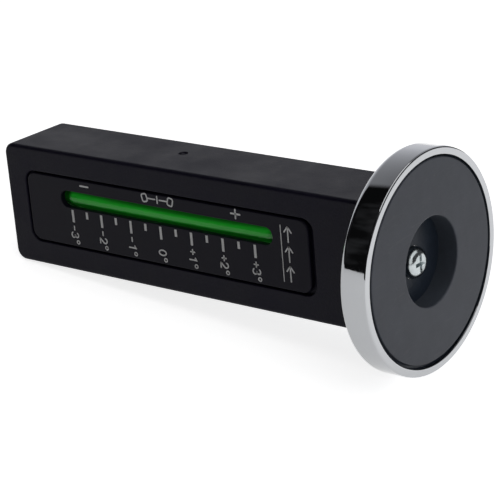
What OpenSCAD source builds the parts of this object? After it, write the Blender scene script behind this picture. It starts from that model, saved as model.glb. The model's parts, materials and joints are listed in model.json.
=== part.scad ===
// Magnetic camber and caster gauge: a long moulded housing with a spirit vial on each
// side, screwed to a round magnet that is set against a wheel hub.
// Frame: the origin is the centre of the magnet's face, +X points out of that face,
// +Z is up and the camber scale faces -Y. The housing lies at negative X.

/* [Magnet] */
// Outside diameter of the chromed steel cup
cup_d = 67; // [60:0.5:76]
// Thickness of the cup, from its back to the magnet's face
cup_t = 9.5; // [8:0.1:14]
// Thickness of the cup's side wall
cup_wall = 2.4; // [1.5:0.1:3]
// Thickness of the cup's floor
cup_floor = 2.5; // [1.8:0.1:3.5]
// Outside radius where the cup's floor turns into its side
cup_round = 2.4; // [0.8:0.1:2.8]
// Chamfer on the cup's front rim
cup_chamfer = 0.3; // [0.1:0.05:0.6]
// Gap between the cup's wall and the ferrite ring, if the ring were in the middle
ring_gap = 0.95; // [0.8:0.05:2]
// Bore of the ferrite ring
ring_bore = 26.6; // [20:0.1:32]
// How far the ring was glued off centre, along Y
ring_off_y = -0.3; // [-0.4:0.05:0.4]
// How far the ring was glued off centre, along Z
ring_off_z = 0.4; // [-0.4:0.05:0.5]
// Thickness of the glue under the ring
glue_t = 0.5; // [0.2:0.1:1]
// How far below the face the glue stands in the gap round the ring
glue_drop = 1.3; // [0.5:0.1:3]

/* [Magnet screw] */
// Thread diameter of the screw that holds the magnet
screw_d = 5; // [4:0.5:6]
// Head diameter of that screw
screw_head_d = 9.5; // [8:0.1:12]
// Head height of that screw
screw_head_h = 3.3; // [2.4:0.1:4]
// How far the screw sits off the cup's centre, along Y
screw_off_y = -0.5; // [-0.6:0.05:0.6]
// How far the screw sits off the cup's centre, along Z
screw_off_z = -0.8; // [-0.8:0.05:0.8]
// Length of that screw under its head
screw_l = 16; // [12:1:22]
// Outside diameter of the brass insert
insert_d = 7.2; // [6.6:0.1:9]
// Length of the brass insert
insert_l = 11; // [8:0.5:14]

/* [Housing] */
// Length of the housing, without the magnet
body_l = 147.2; // [142:0.1:170]
// Height of the housing
body_h = 40.2; // [36:0.2:48]
// Depth of the housing, from the camber face to the caster face
body_d = 25.8; // [25.8:0.1:34]
// Corner radius of the housing, seen from the camber side
end_r = 3.6; // [2:0.1:6]
// Small radius along the housing's other edges
edge_r = 1.2; // [0.6:0.1:2.2]
// Diameter of the moulding gate's dimple on the top face
gate_d = 3.2; // [2:0.1:5]
// Depth of that dimple
gate_depth = 0.5; // [0.2:0.1:0.9]
// Distance from the free end to the dimple
gate_from_end = 64; // [40:0.1:90]
// Distance of the dimple from the middle plane, towards the caster side
gate_y = 2.4; // [-4:0.1:6]

/* [Camber plate] */
// Length of the camber plate
plate_l = 113.3; // [112.6:0.1:116]
// Height of the camber plate
plate_h = 23; // [20:0.1:26]
// Thickness of the camber plate, which is also the depth of its recess
plate_t = 1.8; // [1.2:0.1:2.4]
// Corner radius of the camber plate
plate_r = 3.4; // [1:0.1:5]
// Open gap above and below the plate
plate_gap = 0.6; // [0.3:0.05:0.9]
// Open gap at the plate's free end
plate_gap_free = 0.8; // [0.3:0.05:1.2]
// Open gap at the plate's magnet end
plate_gap_magnet = 1.9; // [0.3:0.05:2.5]
// Distance from the housing's free end to the plate's recess
plate_from_end = 8.4; // [6:0.1:9.6]
// Length of the slot in the plate
slot_l = 85.5; // [70:0.5:90]
// Height of the slot in the plate
slot_h = 5.5; // [4.5:0.1:6.5]
// Height of the slot's middle above the housing's middle
slot_z = 4.45; // [3.5:0.05:5]

/* [Camber vial] */
// Distance of the camber vial's axis below the slot's middle
vial_drop = 1.2; // [0:0.05:1.4]
// Outside diameter of the camber vial
vial_d = 9; // [8:0.1:9.2]
// Diameter of the camber vial's bore at its middle, where it is widest
vial_bore = 5.6; // [5.2:0.1:6]
// Length of the camber vial's tube
vial_l = 100; // [94:0.5:102]
// Length of the camber bubble
bubble_l = 9.6; // [7:0.1:11]
// Movement of the bubble for one degree
degree_pitch = 12.36; // [10:0.01:12.6]
// Last whole degree marked each way
camber_degrees = 3; // [1:1:3]

/* [Camber scale] */
// Distance of the scale's zero from the slot's middle, towards the magnet
scale_off = -1.2; // [-2:0.1:2]
// Length of a whole degree's mark
tick_long = 4.2; // [3:0.1:5]
// Length of a half degree's mark
tick_short = 2.3; // [1:0.1:3]
// Width of a mark
tick_w = 0.9; // [0.4:0.05:1.2]
// Gap between the slot and the marks
tick_gap = 0.7; // [0.4:0.05:1]
// Height of the marks above the plate
tick_t = 0.1; // [0.05:0.01:0.2]

/* [Caster side] */
// Length of the caster cover
cover_l = 126; // [122:0.5:130]
// Height of the caster cover
cover_h = 31; // [29:0.1:32]
// Thickness of the caster cover
cover_t = 2; // [1.6:0.1:2.4]
// Corner radius of the caster cover
cover_r = 3; // [1:0.1:5]
// Distance from the housing's free end to the cover's recess
cover_from_end = 5.7; // [4:0.1:7]
// Length of the window in the cover
window_l = 64; // [50:0.5:70]
// Height of the window in the cover
window_h = 6; // [4.5:0.1:6.5]
// Distance of the cover's screws from its edges
cover_screw_in = 4.8; // [4.2:0.1:5.2]
// Thread diameter of the cover's screws
cover_screw_d = 2.5; // [2:0.1:3]

/* [Caster vial] */
// Outside diameter of the caster vial
caster_d = 7; // [6:0.1:7.2]
// Diameter of the caster vial's bore at its middle, where it is widest
caster_bore = 5.2; // [5:0.1:5.4]
// Length of the caster vial's tube
caster_l = 74; // [70:0.5:75]
// Length of the caster bubble
caster_bubble_l = 8; // [6:0.1:9]
// Movement of the caster bubble for one degree
caster_pitch = 7; // [6.6:0.1:7.6]
// Last degree marked each way on the caster side
caster_degrees = 4; // [3:1:4]
// Distance from the housing's free end to the caster vial's middle
caster_from_end = 74.2; // [73.6:0.1:75.2]

/* [Caster adjuster] */
// Diameter of the pin that the carrier tilts on
pivot_d = 3; // [2.5:0.1:3.4]
// Distance of that pin below the vial
pivot_drop = 8; // [7.5:0.1:8.5]
// Distance from the housing's free end to the adjuster's shaft
shaft_from_end = 17.7; // [17.2:0.1:18.6]
// Diameter of the adjuster's shaft
shaft_d = 4; // [3.4:0.1:4.6]
// Throw of the crank pin
crank_throw = 3.6; // [2.8:0.1:3.8]
// Diameter of the crank pin
crank_pin_d = 2.5; // [2:0.1:2.8]
// Diameter of the adjuster's knob
knob_d = 15; // [12:0.5:17]
// Height of the knob
knob_h = 6.5; // [5:0.5:9]
// Number of flutes round the knob
knob_flutes = 20; // [14:1:24]

/* [Hidden] */
$fn = 96;

// Clearances
fit_gap = 0.05;      // between pieces that are pressed, screwed or glued into each other
run_gap = 0.05;      // round a pin or shaft that turns
free_gap = 0.3;      // between pieces that pass each other
eps = 0.01;          // cuts run this far past a face

// Housing
magnet_end = -cup_t;
free_end = magnet_end - body_l;
front_y = -body_d / 2;
back_y = body_d / 2;
top_z = body_h / 2;

// Magnet
screw_play = 1.1;                          // round the screw in the cup's floor
ring_d = cup_d - 2 * cup_wall - 2 * ring_gap;

// Camber plate and its recess
recess_l = plate_l + plate_gap_free + plate_gap_magnet;
recess_h = plate_h + 2 * plate_gap;
recess_x = free_end + plate_from_end;
plate_x = recess_x + plate_gap_free;
plate_back = front_y + plate_t;
slot_x = recess_x + recess_l / 2;          // middle of the slot and the vial

// Camber vial
plug_l = 3.5;                              // part of a plug inside its tube
plug_flange = 0.9;                         // part of a plug outside its tube
vial_r = vial_d / 2;
vial_gap = 0.15;                           // between the vial and the plate
vial_y = plate_back + vial_gap + vial_r;
vial_z = slot_z - vial_drop;
cradle_back_t = 1.1;                       // of the cradle, behind the vial
cradle_side = 1.1;                         // of the cradle, above and below the vial
cradle_x = vial_l + 2 * plug_flange + 0.6;
cradle_h = vial_d + 2 * cradle_side;
cradle_back = vial_y + vial_r + cradle_back_t;
pocket_gap = 0.25;                         // round the cradle
bed_l = 5;                                 // of each piece of putty
bubble_margin = 0.4;                       // left at the end of the bubble's travel
bubble_gap = 0.15;                         // between a bubble and its bore
bubble_side = 0.27;                        // a bubble's radius is this much under the bore's at its end
fluid_gap = 0.1;                           // between a bubble and its fluid
bore_steps = 8;                            // tapers that make up half of a bore's curve
bubble_x = vial_l / 2 - plug_l - bubble_l / 2 - bubble_margin;

// Caster cover, vial and carrier
cover_gap = 0.3;
cover_recess_x = free_end + cover_from_end;
cover_mid_x = cover_recess_x + cover_gap + cover_l / 2;
cover_inside = back_y - cover_t;
cover_screw_depth = 8;                     // of a screw's hole, below the cover
caster_x = free_end + caster_from_end;
web_t = 1.85;                              // of the wall between the two pockets
caster_floor = cradle_back + pocket_gap + web_t;
carrier_back = caster_floor + free_gap;
carrier_back_t = 1;
caster_r = caster_d / 2;
caster_y = carrier_back + carrier_back_t + fit_gap + caster_r;
carrier_side = 0.9;
carrier_l = caster_l + 2 * plug_flange + 1.2;
carrier_h = caster_d + 2 * carrier_side;
caster_bubble_x = caster_l / 2 - plug_l - caster_bubble_l / 2 - bubble_margin;

// Adjuster
tilt_max = 3.4;                            // degrees that the pockets leave room for, each way
shaft_x = free_end + shaft_from_end;
crank_x = shaft_x + crank_throw;
crank_r = crank_throw + crank_pin_d / 2 + 0.8;
crank_t = 1.4;
crank_back = cover_inside - 0.2 - crank_t;
arm_front = crank_back - 0.7;
arm_t = 3.2;
arm_back = arm_front - arm_t;
fork_gap = 0.3;                            // above and below the crank pin
fork_wall = 1.7;
fork_h = crank_pin_d + 2 * (fork_gap + fork_wall);
fork_end = shaft_x - crank_throw * 0.2;
lug_r = pivot_d / 2 + 2.4;
lug_front = arm_front - 0.3;
clip_t = 0.6;
clip_r = pivot_d / 2 + 1.5;
clip_groove_d = pivot_d - 0.6;
clip_y = lug_front + 0.15;
pin_end = clip_y + clip_t + 0.5;
pin_depth = 8;                             // of the pin in the housing
bush_wall = 1.5;
bush_flange = 1.6;                         // past the bush, all round
bush_r = shaft_d / 2 + bush_wall;
bush_flange_r = bush_r + bush_flange;
bush_flange_t = 0.6;
washer_t = 0.4;
knob_start = back_y + bush_flange_t + washer_t + 0.1;
knob_bore_y = knob_start + knob_h * 0.55;  // of the set screw's hole
knob_screw_d = 2.4;
shaft_flat = shaft_d * 0.38;               // height of the flat above the shaft's axis
tilt_room = sin(tilt_max);
pocket_half = carrier_h / 2 + carrier_l / 2 * tilt_room + 0.6;
arm_reach = caster_x - fork_end;
left_half = max(fork_h / 2 + arm_reach * tilt_room + 0.4, crank_r + 0.5);
pocket_left = shaft_x - crank_r - 0.5;
pocket_right = caster_x + carrier_l / 2 + 1.2;
lug_pocket_half = lug_r + 1.2;

// A rectangle with round corners, centred
module round_rect(w, h, r) {
    square([w - 2 * r, h], center = true);
    square([w, h - 2 * r], center = true);
    for (sx = [-1, 1], sz = [-1, 1])
        translate([sx * (w / 2 - r), sz * (h / 2 - r)]) circle(r);
}

// An outline in X and Z, carried from y0 to y1
module through_y(y0, y1) {
    translate([0, y1, 0]) rotate([90, 0, 0]) linear_extrude(y1 - y0) children();
}

// An outline in Y and Z, carried from x0 to x1
module through_x(x0, x1) {
    translate([x0, 0, 0]) rotate([90, 0, 90]) linear_extrude(x1 - x0) children();
}

// A box given by its lowest and highest corners
module box(a, b) {
    translate(a) cube(b - a);
}

// A round bar along X
module bar_x(x0, x1, d) {
    translate([x0, 0, 0]) rotate([0, 90, 0]) cylinder(h = x1 - x0, d = d);
}

// A round bar along Y
module bar_y(y0, y1, d) {
    translate([0, y1, 0]) rotate([90, 0, 0]) cylinder(h = y1 - y0, d = d);
}

// A profile of radius and X, spun round the X axis
module spun_x() {
    rotate([0, 90, 0]) rotate_extrude() children();
}

// Magnet ---------------------------------------------------------------------------

module at_screw() {
    translate([0, screw_off_y, screw_off_z]) children();
}

module magnet_cup() {
    r = cup_d / 2;
    hole_r = screw_d / 2 + screw_play;
    color("silver") spun_x() {
        translate([hole_r, -cup_t]) square([r - cup_round - hole_r, cup_floor]);
        intersection() {
            translate([r - cup_round, cup_round - cup_t]) circle(cup_round);
            translate([r - cup_round, -cup_t]) square(cup_round);
        }
        polygon([[r - cup_wall, -cup_t + min(cup_floor, cup_round)], [r, -cup_t + cup_round],
                 [r, -cup_chamfer], [r - cup_chamfer, 0], [r - cup_wall + cup_chamfer, 0],
                 [r - cup_wall, -cup_chamfer]]);
        translate([r - max(cup_wall, cup_round), -cup_t + min(cup_floor, cup_round)])
            square([max(cup_wall, cup_round), abs(cup_floor - cup_round) + 0.1]);
    }
}

module magnet_ring() {
    color("dimgray") translate([0, ring_off_y, ring_off_z])
        difference() {
            bar_x(-cup_t + cup_floor + glue_t, 0, ring_d);
            bar_x(-cup_t, 1, ring_bore);
        }
}

module magnet_glue() {
    floor_x = -cup_t + cup_floor;
    inside_d = cup_d - 2 * cup_wall;
    color("#1c1c1e") difference() {
        bar_x(floor_x, -glue_drop, inside_d);
        translate([0, ring_off_y, ring_off_z]) bar_x(floor_x + glue_t, 0, ring_d);
        at_screw() bar_x(floor_x - 1, 0, screw_head_d + 2 * free_gap);
    }
}

module magnet_screw() {
    seat = -cup_t + cup_floor;
    top = seat + screw_head_h;
    edge_h = screw_head_h * 0.4;
    head_r = screw_head_d / 2;
    crown = screw_head_h - edge_h;
    crown_r = (head_r * head_r + crown * crown) / (2 * crown);
    color("lightgray") at_screw() difference() {
        union() {
            bar_x(seat - screw_l, seat + 0.1, screw_d);
            bar_x(seat, seat + edge_h, screw_head_d);
            intersection() {
                translate([top - crown_r, 0, 0]) rotate([0, 90, 0]) sphere(crown_r);
                bar_x(seat + edge_h / 2, top + 1, screw_head_d);
            }
        }
        cross_recess(top, screw_d);
    }
}

// The cross in a screw's head that faces +X at x, cut by four tapered wings
module cross_recess(x, d) {
    wing = 0.2 * d;
    reach = 0.5 * d;
    depth = 0.44 * d;
    translate([x, 0, 0]) {
        for (a = [0, 90])
            rotate([a, 0, 0]) through_y(-wing / 2, wing / 2)
                polygon([[1, -reach], [1, reach], [-depth, reach * 0.35], [-depth, -reach * 0.35]]);
        translate([-depth, 0, 0]) rotate([0, 90, 0]) cylinder(h = depth + 1, r1 = wing * 0.7, r2 = wing * 1.3);
    }
}

module threaded_insert() {
    rib_l = insert_l * 0.34;
    color("goldenrod") at_screw() difference() {
        union() {
            bar_x(magnet_end - insert_l, magnet_end - insert_l + rib_l, insert_d);
            bar_x(magnet_end - rib_l, magnet_end, insert_d);
            bar_x(magnet_end - insert_l, magnet_end, insert_d - 0.8);
        }
        bar_x(magnet_end - insert_l - 1, magnet_end + 1, screw_d + 2 * fit_gap);
    }
}

// Housing --------------------------------------------------------------------------

module housing_outside() {
    mid_x = (free_end + magnet_end) / 2;
    intersection() {
        translate([mid_x, 0, 0]) through_y(front_y, back_y) round_rect(body_l, body_h, end_r);
        through_x(free_end, magnet_end) round_rect(body_d, body_h, edge_r);
        translate([mid_x, 0, -top_z]) linear_extrude(body_h) round_rect(body_l, body_d, edge_r);
    }
}

module camber_pocket() {
    half_x = cradle_x / 2 + pocket_gap;
    half_z = cradle_h / 2 + pocket_gap;
    translate([recess_x + recess_l / 2, 0, 0]) through_y(front_y - 1, plate_back)
        round_rect(recess_l, recess_h, plate_r + plate_gap);
    box([slot_x - half_x, plate_back - eps, vial_z - half_z],
        [slot_x + half_x, cradle_back + pocket_gap, vial_z + half_z]);
}

module caster_pocket() {
    translate([cover_recess_x + cover_l / 2 + cover_gap, 0, 0]) through_y(cover_inside, back_y + 1)
        round_rect(cover_l + 2 * cover_gap, cover_h + 2 * cover_gap, cover_r + cover_gap);
    box([caster_x - carrier_l / 2 - 1.2, caster_floor, -pocket_half],
        [pocket_right, cover_inside + eps, pocket_half]);
    box([pocket_left, arm_back - 0.6, -left_half],
        [caster_x - carrier_l / 2, cover_inside + eps, left_half]);
    box([caster_x - lug_pocket_half, caster_floor, -pivot_drop - lug_pocket_half],
        [caster_x + lug_pocket_half, cover_inside + eps, 0]);
}

module housing() {
    color("#232325") difference() {
        housing_outside();
        camber_pocket();
        caster_pocket();
        at_screw() bar_x(magnet_end - insert_l, magnet_end + 1, insert_d);
        at_screw() bar_x(-cup_t + cup_floor - screw_l - 2, magnet_end, screw_d + 0.6);
        translate([caster_x, 0, -pivot_drop]) bar_y(caster_floor - pin_depth, caster_floor + 1, pivot_d);
        at_cover_screws() bar_y(cover_inside - cover_screw_depth, cover_inside + 1, cover_screw_d);
        translate([free_end + gate_from_end, gate_y, top_z - gate_depth])
            cylinder(h = gate_depth + 1, d = gate_d);
    }
}

// Camber side ----------------------------------------------------------------------

module camber_plate() {
    mid_x = plate_x + plate_l / 2;
    color("#1f1f21") difference() {
        translate([mid_x, 0, 0]) through_y(front_y, plate_back) round_rect(plate_l, plate_h, plate_r);
        translate([slot_x, 0, slot_z]) through_y(front_y - 1, plate_back + 1)
            round_rect(slot_l, slot_h, slot_h / 2 - 0.1);
    }
}

module camber_scale() {
    top = slot_z - slot_h / 2 - tick_gap;
    color("white") for (k = [-2 * camber_degrees : 2 * camber_degrees]) {
        x = slot_x + scale_off + k * degree_pitch / 2;
        len = k % 2 == 0 ? tick_long : tick_short;
        box([x - tick_w / 2, front_y - tick_t, top - len], [x + tick_w / 2, front_y, top]);
    }
}

module camber_cradle() {
    color("whitesmoke") translate([slot_x, 0, vial_z]) difference() {
        box([-cradle_x / 2, vial_y, -cradle_h / 2], [cradle_x / 2, cradle_back, cradle_h / 2]);
        translate([0, vial_y, 0]) bar_x(-cradle_x, cradle_x, vial_d + 2 * fit_gap);
    }
}

// Hard putty above and below the vial near each end, which holds it in its cradle once it
// is set true: four pieces
module camber_vial_beds() {
    bed_x = vial_l / 2 - bed_l;
    color("ivory") for (s = [-1, 1])
        translate([slot_x + s * (bed_x + bed_l / 2), 0, vial_z]) difference() {
            box([-bed_l / 2, vial_y - vial_r * 0.75, -cradle_h / 2], [bed_l / 2, vial_y, cradle_h / 2]);
            translate([0, vial_y, 0]) bar_x(-bed_l, bed_l, vial_d + 2 * fit_gap);
        }
}

// Vials: each is drawn along X with its middle at the origin ------------------------

// A bore is ground to a long radius, so that its bubble moves by pitch for each degree
function ground_r(pitch) = pitch * 180 / PI;
function bore_r(bore, pitch, x) = sqrt(pow(ground_r(pitch), 2) - x * x) - ground_r(pitch) + bore / 2;
function plug_d(d) = 0.58 * d;

// The barrel-shaped space in a bore, up to half each way, smaller all round by less
module barrel(bore, pitch, half, less = 0) {
    spun_x() polygon(concat([[0, -half]],
                            [for (k = [-bore_steps : bore_steps])
                                [bore_r(bore, pitch, half * k / bore_steps) - less, half * k / bore_steps]],
                            [[0, half]]));
}

module vial_tube(d, bore, pitch, l) {
    difference() {
        bar_x(-l / 2, l / 2, d);
        barrel(bore, pitch, l / 2 - plug_l + eps);
        for (s = [0, 180]) rotate([0, 0, s]) bar_x(l / 2 - plug_l, l, plug_d(d));
    }
}

module vial_plugs(d, l) {
    for (s = [0, 180]) rotate([0, 0, s]) {
        bar_x(l / 2 - plug_l, l / 2 + 0.1, plug_d(d) - 2 * fit_gap);
        bar_x(l / 2, l / 2 + plug_flange, d);
    }
}

// A bubble's radius, which passes the narrow ends of its bore
function bubble_r(bore, pitch, l) = bore_r(bore, pitch, l / 2 - plug_l) - bubble_side;

// Carries a bubble along the top of its bore, to the distance at from the middle
module along_bore(bore, pitch, r, at) {
    translate([0, 0, bore / 2 - ground_r(pitch)]) rotate([0, at / pitch, 0])
        translate([0, 0, ground_r(pitch) - bubble_gap - r]) children();
}

module vial_bubble(bore, pitch, l, len, at) {
    r = bubble_r(bore, pitch, l);
    along_bore(bore, pitch, r, at) round_ended(r, len / 2 - r);
}

// A bar of radius r along X, with a round end centred at half each way
module round_ended(r, half) {
    spun_x() intersection() {
        union() {
            translate([0, -half]) square([r, 2 * half]);
            for (s = [-1, 1]) translate([0, s * half]) circle(r);
        }
        translate([0, -half - r]) square([r, 2 * (half + r)]);
    }
}

// The fluid fills the bore between the plugs and lies round the bubble
module vial_fluid(bore, pitch, l, len, at) {
    r = bubble_r(bore, pitch, l);
    cut_r = r + fluid_gap;
    difference() {
        barrel(bore, pitch, l / 2 - plug_l - fit_gap, fit_gap);
        along_bore(bore, pitch, r, at) {
            round_ended(cut_r, len / 2 - r);
            box([r - len / 2, -cut_r, 0], [len / 2 - r, cut_r, bore]);
        }
    }
}

module at_camber_vial() {
    translate([slot_x, vial_y, vial_z]) children();
}

module at_caster_vial() {
    translate([caster_x, caster_y, 0]) children();
}

module camber_tube() {
    color("palegreen", 0.5) at_camber_vial() vial_tube(vial_d, vial_bore, degree_pitch, vial_l);
}

module camber_tube_plugs() {
    color("darkgreen") at_camber_vial() vial_plugs(vial_d, vial_l);
}

module camber_fluid() {
    color("limegreen") at_camber_vial()
        vial_fluid(vial_bore, degree_pitch, vial_l, bubble_l, bubble_x);
}

module camber_bubble() {
    color("honeydew") at_camber_vial()
        vial_bubble(vial_bore, degree_pitch, vial_l, bubble_l, bubble_x);
}

module caster_tube() {
    color("palegreen", 0.5) at_caster_vial() vial_tube(caster_d, caster_bore, caster_pitch, caster_l);
}

module caster_tube_plugs() {
    color("darkgreen") at_caster_vial() vial_plugs(caster_d, caster_l);
}

module caster_fluid() {
    color("limegreen") at_caster_vial()
        vial_fluid(caster_bore, caster_pitch, caster_l, caster_bubble_l, caster_bubble_x);
}

module caster_bubble() {
    color("honeydew") at_caster_vial()
        vial_bubble(caster_bore, caster_pitch, caster_l, caster_bubble_l, caster_bubble_x);
}

// Caster side ----------------------------------------------------------------------

module at_cover_screws() {
    for (sx = [-1, 1], sz = [-1, 1])
        translate([cover_mid_x + sx * (cover_l / 2 - cover_screw_in), 0, sz * (cover_h / 2 - cover_screw_in)])
            children();
}

// A countersunk head's cone at the caster face
module countersink(extra) {
    depth = cover_screw_d * 0.55;
    translate([0, back_y + eps, 0]) rotate([90, 0, 0])
        cylinder(h = depth + eps, r1 = cover_screw_d + extra, r2 = cover_screw_d - depth + extra);
}

module caster_cover() {
    color("#1f1f21") difference() {
        translate([cover_mid_x, 0, 0]) through_y(cover_inside, back_y) round_rect(cover_l, cover_h, cover_r);
        translate([caster_x, 0, 0]) through_y(cover_inside - 1, back_y + 1)
            round_rect(window_l, window_h, window_h / 2 - 0.1);
        translate([shaft_x, 0, 0]) bar_y(cover_inside - 1, back_y + 1, 2 * bush_r);
        at_cover_screws() {
            bar_y(cover_inside - 1, back_y + 1, cover_screw_d + 2 * fit_gap);
            countersink(fit_gap);
        }
    }
}

module caster_cover_screws() {
    slot = cover_screw_d * 0.24;
    color("dimgray") at_cover_screws() difference() {
        union() {
            bar_y(cover_inside - cover_screw_depth + 0.5, back_y - 0.5, cover_screw_d - 2 * fit_gap);
            intersection() {
                countersink(0);
                bar_y(front_y, back_y, 4 * cover_screw_d);
            }
        }
        for (a = [0, 90]) rotate([0, a, 0])
            box([-cover_screw_d * 0.5, back_y - 0.7, -slot / 2], [cover_screw_d * 0.5, back_y + 1, slot / 2]);
    }
}

module caster_scale() {
    top = -window_h / 2 - tick_gap;
    color("white") for (k = [-caster_degrees : caster_degrees]) {
        x = caster_x + k * caster_pitch;
        len = k % 2 == 0 ? tick_long * 0.8 : tick_short * 0.8;
        box([x - tick_w / 2, back_y, top - len], [x + tick_w / 2, back_y + tick_t, top]);
    }
}

module caster_carrier() {
    half_l = carrier_l / 2;
    color("whitesmoke") difference() {
        union() {
            box([caster_x - half_l, carrier_back, -carrier_h / 2], [caster_x + half_l, caster_y, carrier_h / 2]);
            box([fork_end, arm_back, -fork_h / 2],
                [caster_x - half_l + 2, arm_front, fork_h / 2]);
            box([caster_x - half_l, carrier_back, -fork_h / 2], [caster_x - half_l + 2, arm_front, fork_h / 2]);
            translate([caster_x, 0, -pivot_drop]) bar_y(carrier_back, lug_front, 2 * lug_r);
            box([caster_x - lug_r, carrier_back, -pivot_drop], [caster_x + lug_r, caster_y, 0]);
        }
        translate([caster_x, caster_y, 0]) bar_x(-caster_l / 2 - plug_flange - fit_gap, half_l + 1,
                                                 caster_d + 2 * fit_gap);
        box([fork_end - 1, arm_back - 1, -crank_pin_d / 2 - fork_gap],
            [crank_x + crank_pin_d / 2 + 1.5, arm_front + 1, crank_pin_d / 2 + fork_gap]);
        translate([caster_x, 0, -pivot_drop]) bar_y(carrier_back - 1, lug_front + 1, pivot_d + 2 * run_gap);
    }
}

module pivot_pin() {
    color("silver") translate([caster_x, 0, -pivot_drop]) {
        bar_y(caster_floor - pin_depth, clip_y - fit_gap, pivot_d - 2 * fit_gap + 0.1);
        bar_y(clip_y - 1, pin_end - 0.1, clip_groove_d);
        bar_y(clip_y + clip_t + fit_gap, pin_end, pivot_d);
    }
}

module pivot_clip() {
    color("dimgray") translate([caster_x, 0, -pivot_drop]) difference() {
        bar_y(clip_y, clip_y + clip_t, 2 * clip_r);
        bar_y(clip_y - 1, clip_y + clip_t + 1, clip_groove_d + 2 * fit_gap);
        box([-clip_groove_d * 0.4, clip_y - 1, -clip_r - 1], [clip_groove_d * 0.4, clip_y + clip_t + 1, 0]);
    }
}

module adjuster_shaft() {
    pin_back = arm_back - 0.2;
    color("silver") translate([shaft_x, 0, 0]) difference() {
        union() {
            bar_y(crank_back, crank_back + crank_t, 2 * crank_r);
            bar_y(crank_back + crank_t - 0.1, knob_start + knob_h - 1, shaft_d);
            translate([crank_throw, 0, 0]) bar_y(pin_back, crank_back + 0.1, crank_pin_d);
        }
        box([-shaft_d, knob_start + 0.6, shaft_flat], [shaft_d, knob_start + knob_h, shaft_d]);
    }
}

module adjuster_bush() {
    color("goldenrod") translate([shaft_x, 0, 0]) difference() {
        union() {
            bar_y(cover_inside, back_y + 0.1, 2 * (bush_r - fit_gap / 2));
            bar_y(back_y, back_y + bush_flange_t, 2 * bush_flange_r);
        }
        bar_y(cover_inside - 1, back_y + bush_flange_t + 1, shaft_d + 2 * run_gap);
    }
}

module friction_washer() {
    color("gray") translate([shaft_x, 0, 0]) difference() {
        bar_y(back_y + bush_flange_t, back_y + bush_flange_t + washer_t, 2 * (bush_flange_r - free_gap));
        bar_y(back_y, back_y + bush_flange_t + washer_t + 1, shaft_d + 2 * free_gap);
    }
}

module adjuster_knob() {
    flute_d = PI * knob_d / knob_flutes * 0.55;
    color("#2a2a2c") translate([shaft_x, 0, 0]) difference() {
        through_y(knob_start, knob_start + knob_h) difference() {
            circle(d = knob_d);
            for (k = [0 : knob_flutes - 1]) rotate(k * 360 / knob_flutes)
                translate([knob_d / 2 + flute_d * 0.15, 0]) circle(d = flute_d, $fn = 24);
        }
        difference() {
            bar_y(knob_start - 1, knob_start + knob_h - 0.9, shaft_d + 2 * fit_gap);
            box([-shaft_d, knob_start + 0.7, shaft_flat + fit_gap], [shaft_d, knob_start + knob_h, shaft_d]);
        }
        translate([0, knob_bore_y, 0]) cylinder(h = knob_d, d = knob_screw_d);
    }
}

module knob_set_screw() {
    start = shaft_flat + fit_gap;
    end = knob_d / 2 - 1.4;
    color("#303034") translate([shaft_x, knob_bore_y, 0]) difference() {
        translate([0, 0, start]) cylinder(h = end - start, d = knob_screw_d - 2 * fit_gap);
        translate([0, 0, end - knob_screw_d * 0.4]) cylinder(h = knob_screw_d, d = knob_screw_d / 2, $fn = 6);
    }
}

housing();
magnet_cup();
magnet_ring();
magnet_glue();
magnet_screw();
threaded_insert();
camber_plate();
camber_scale();
camber_cradle();
camber_vial_beds();
camber_tube();
camber_tube_plugs();
camber_fluid();
camber_bubble();
caster_cover();
caster_cover_screws();
caster_scale();
caster_carrier();
caster_tube();
caster_tube_plugs();
caster_fluid();
caster_bubble();
pivot_pin();
pivot_clip();
adjuster_shaft();
adjuster_bush();
friction_washer();
adjuster_knob();
knob_set_screw();
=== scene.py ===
"""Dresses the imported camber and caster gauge: a moulded housing with a spirit vial on each
long side and a round magnet across one end.

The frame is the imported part's own. The origin is the centre of the magnet's face, +X
points out of that face, +Z is up and the camber scale faces -Y. All lengths are metres.
"""

import json
import math

import bmesh
import bpy
import numpy as np
from bpy.props import FloatProperty, FloatVectorProperty, IntProperty, PointerProperty
from mathutils import Matrix, Vector

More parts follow.
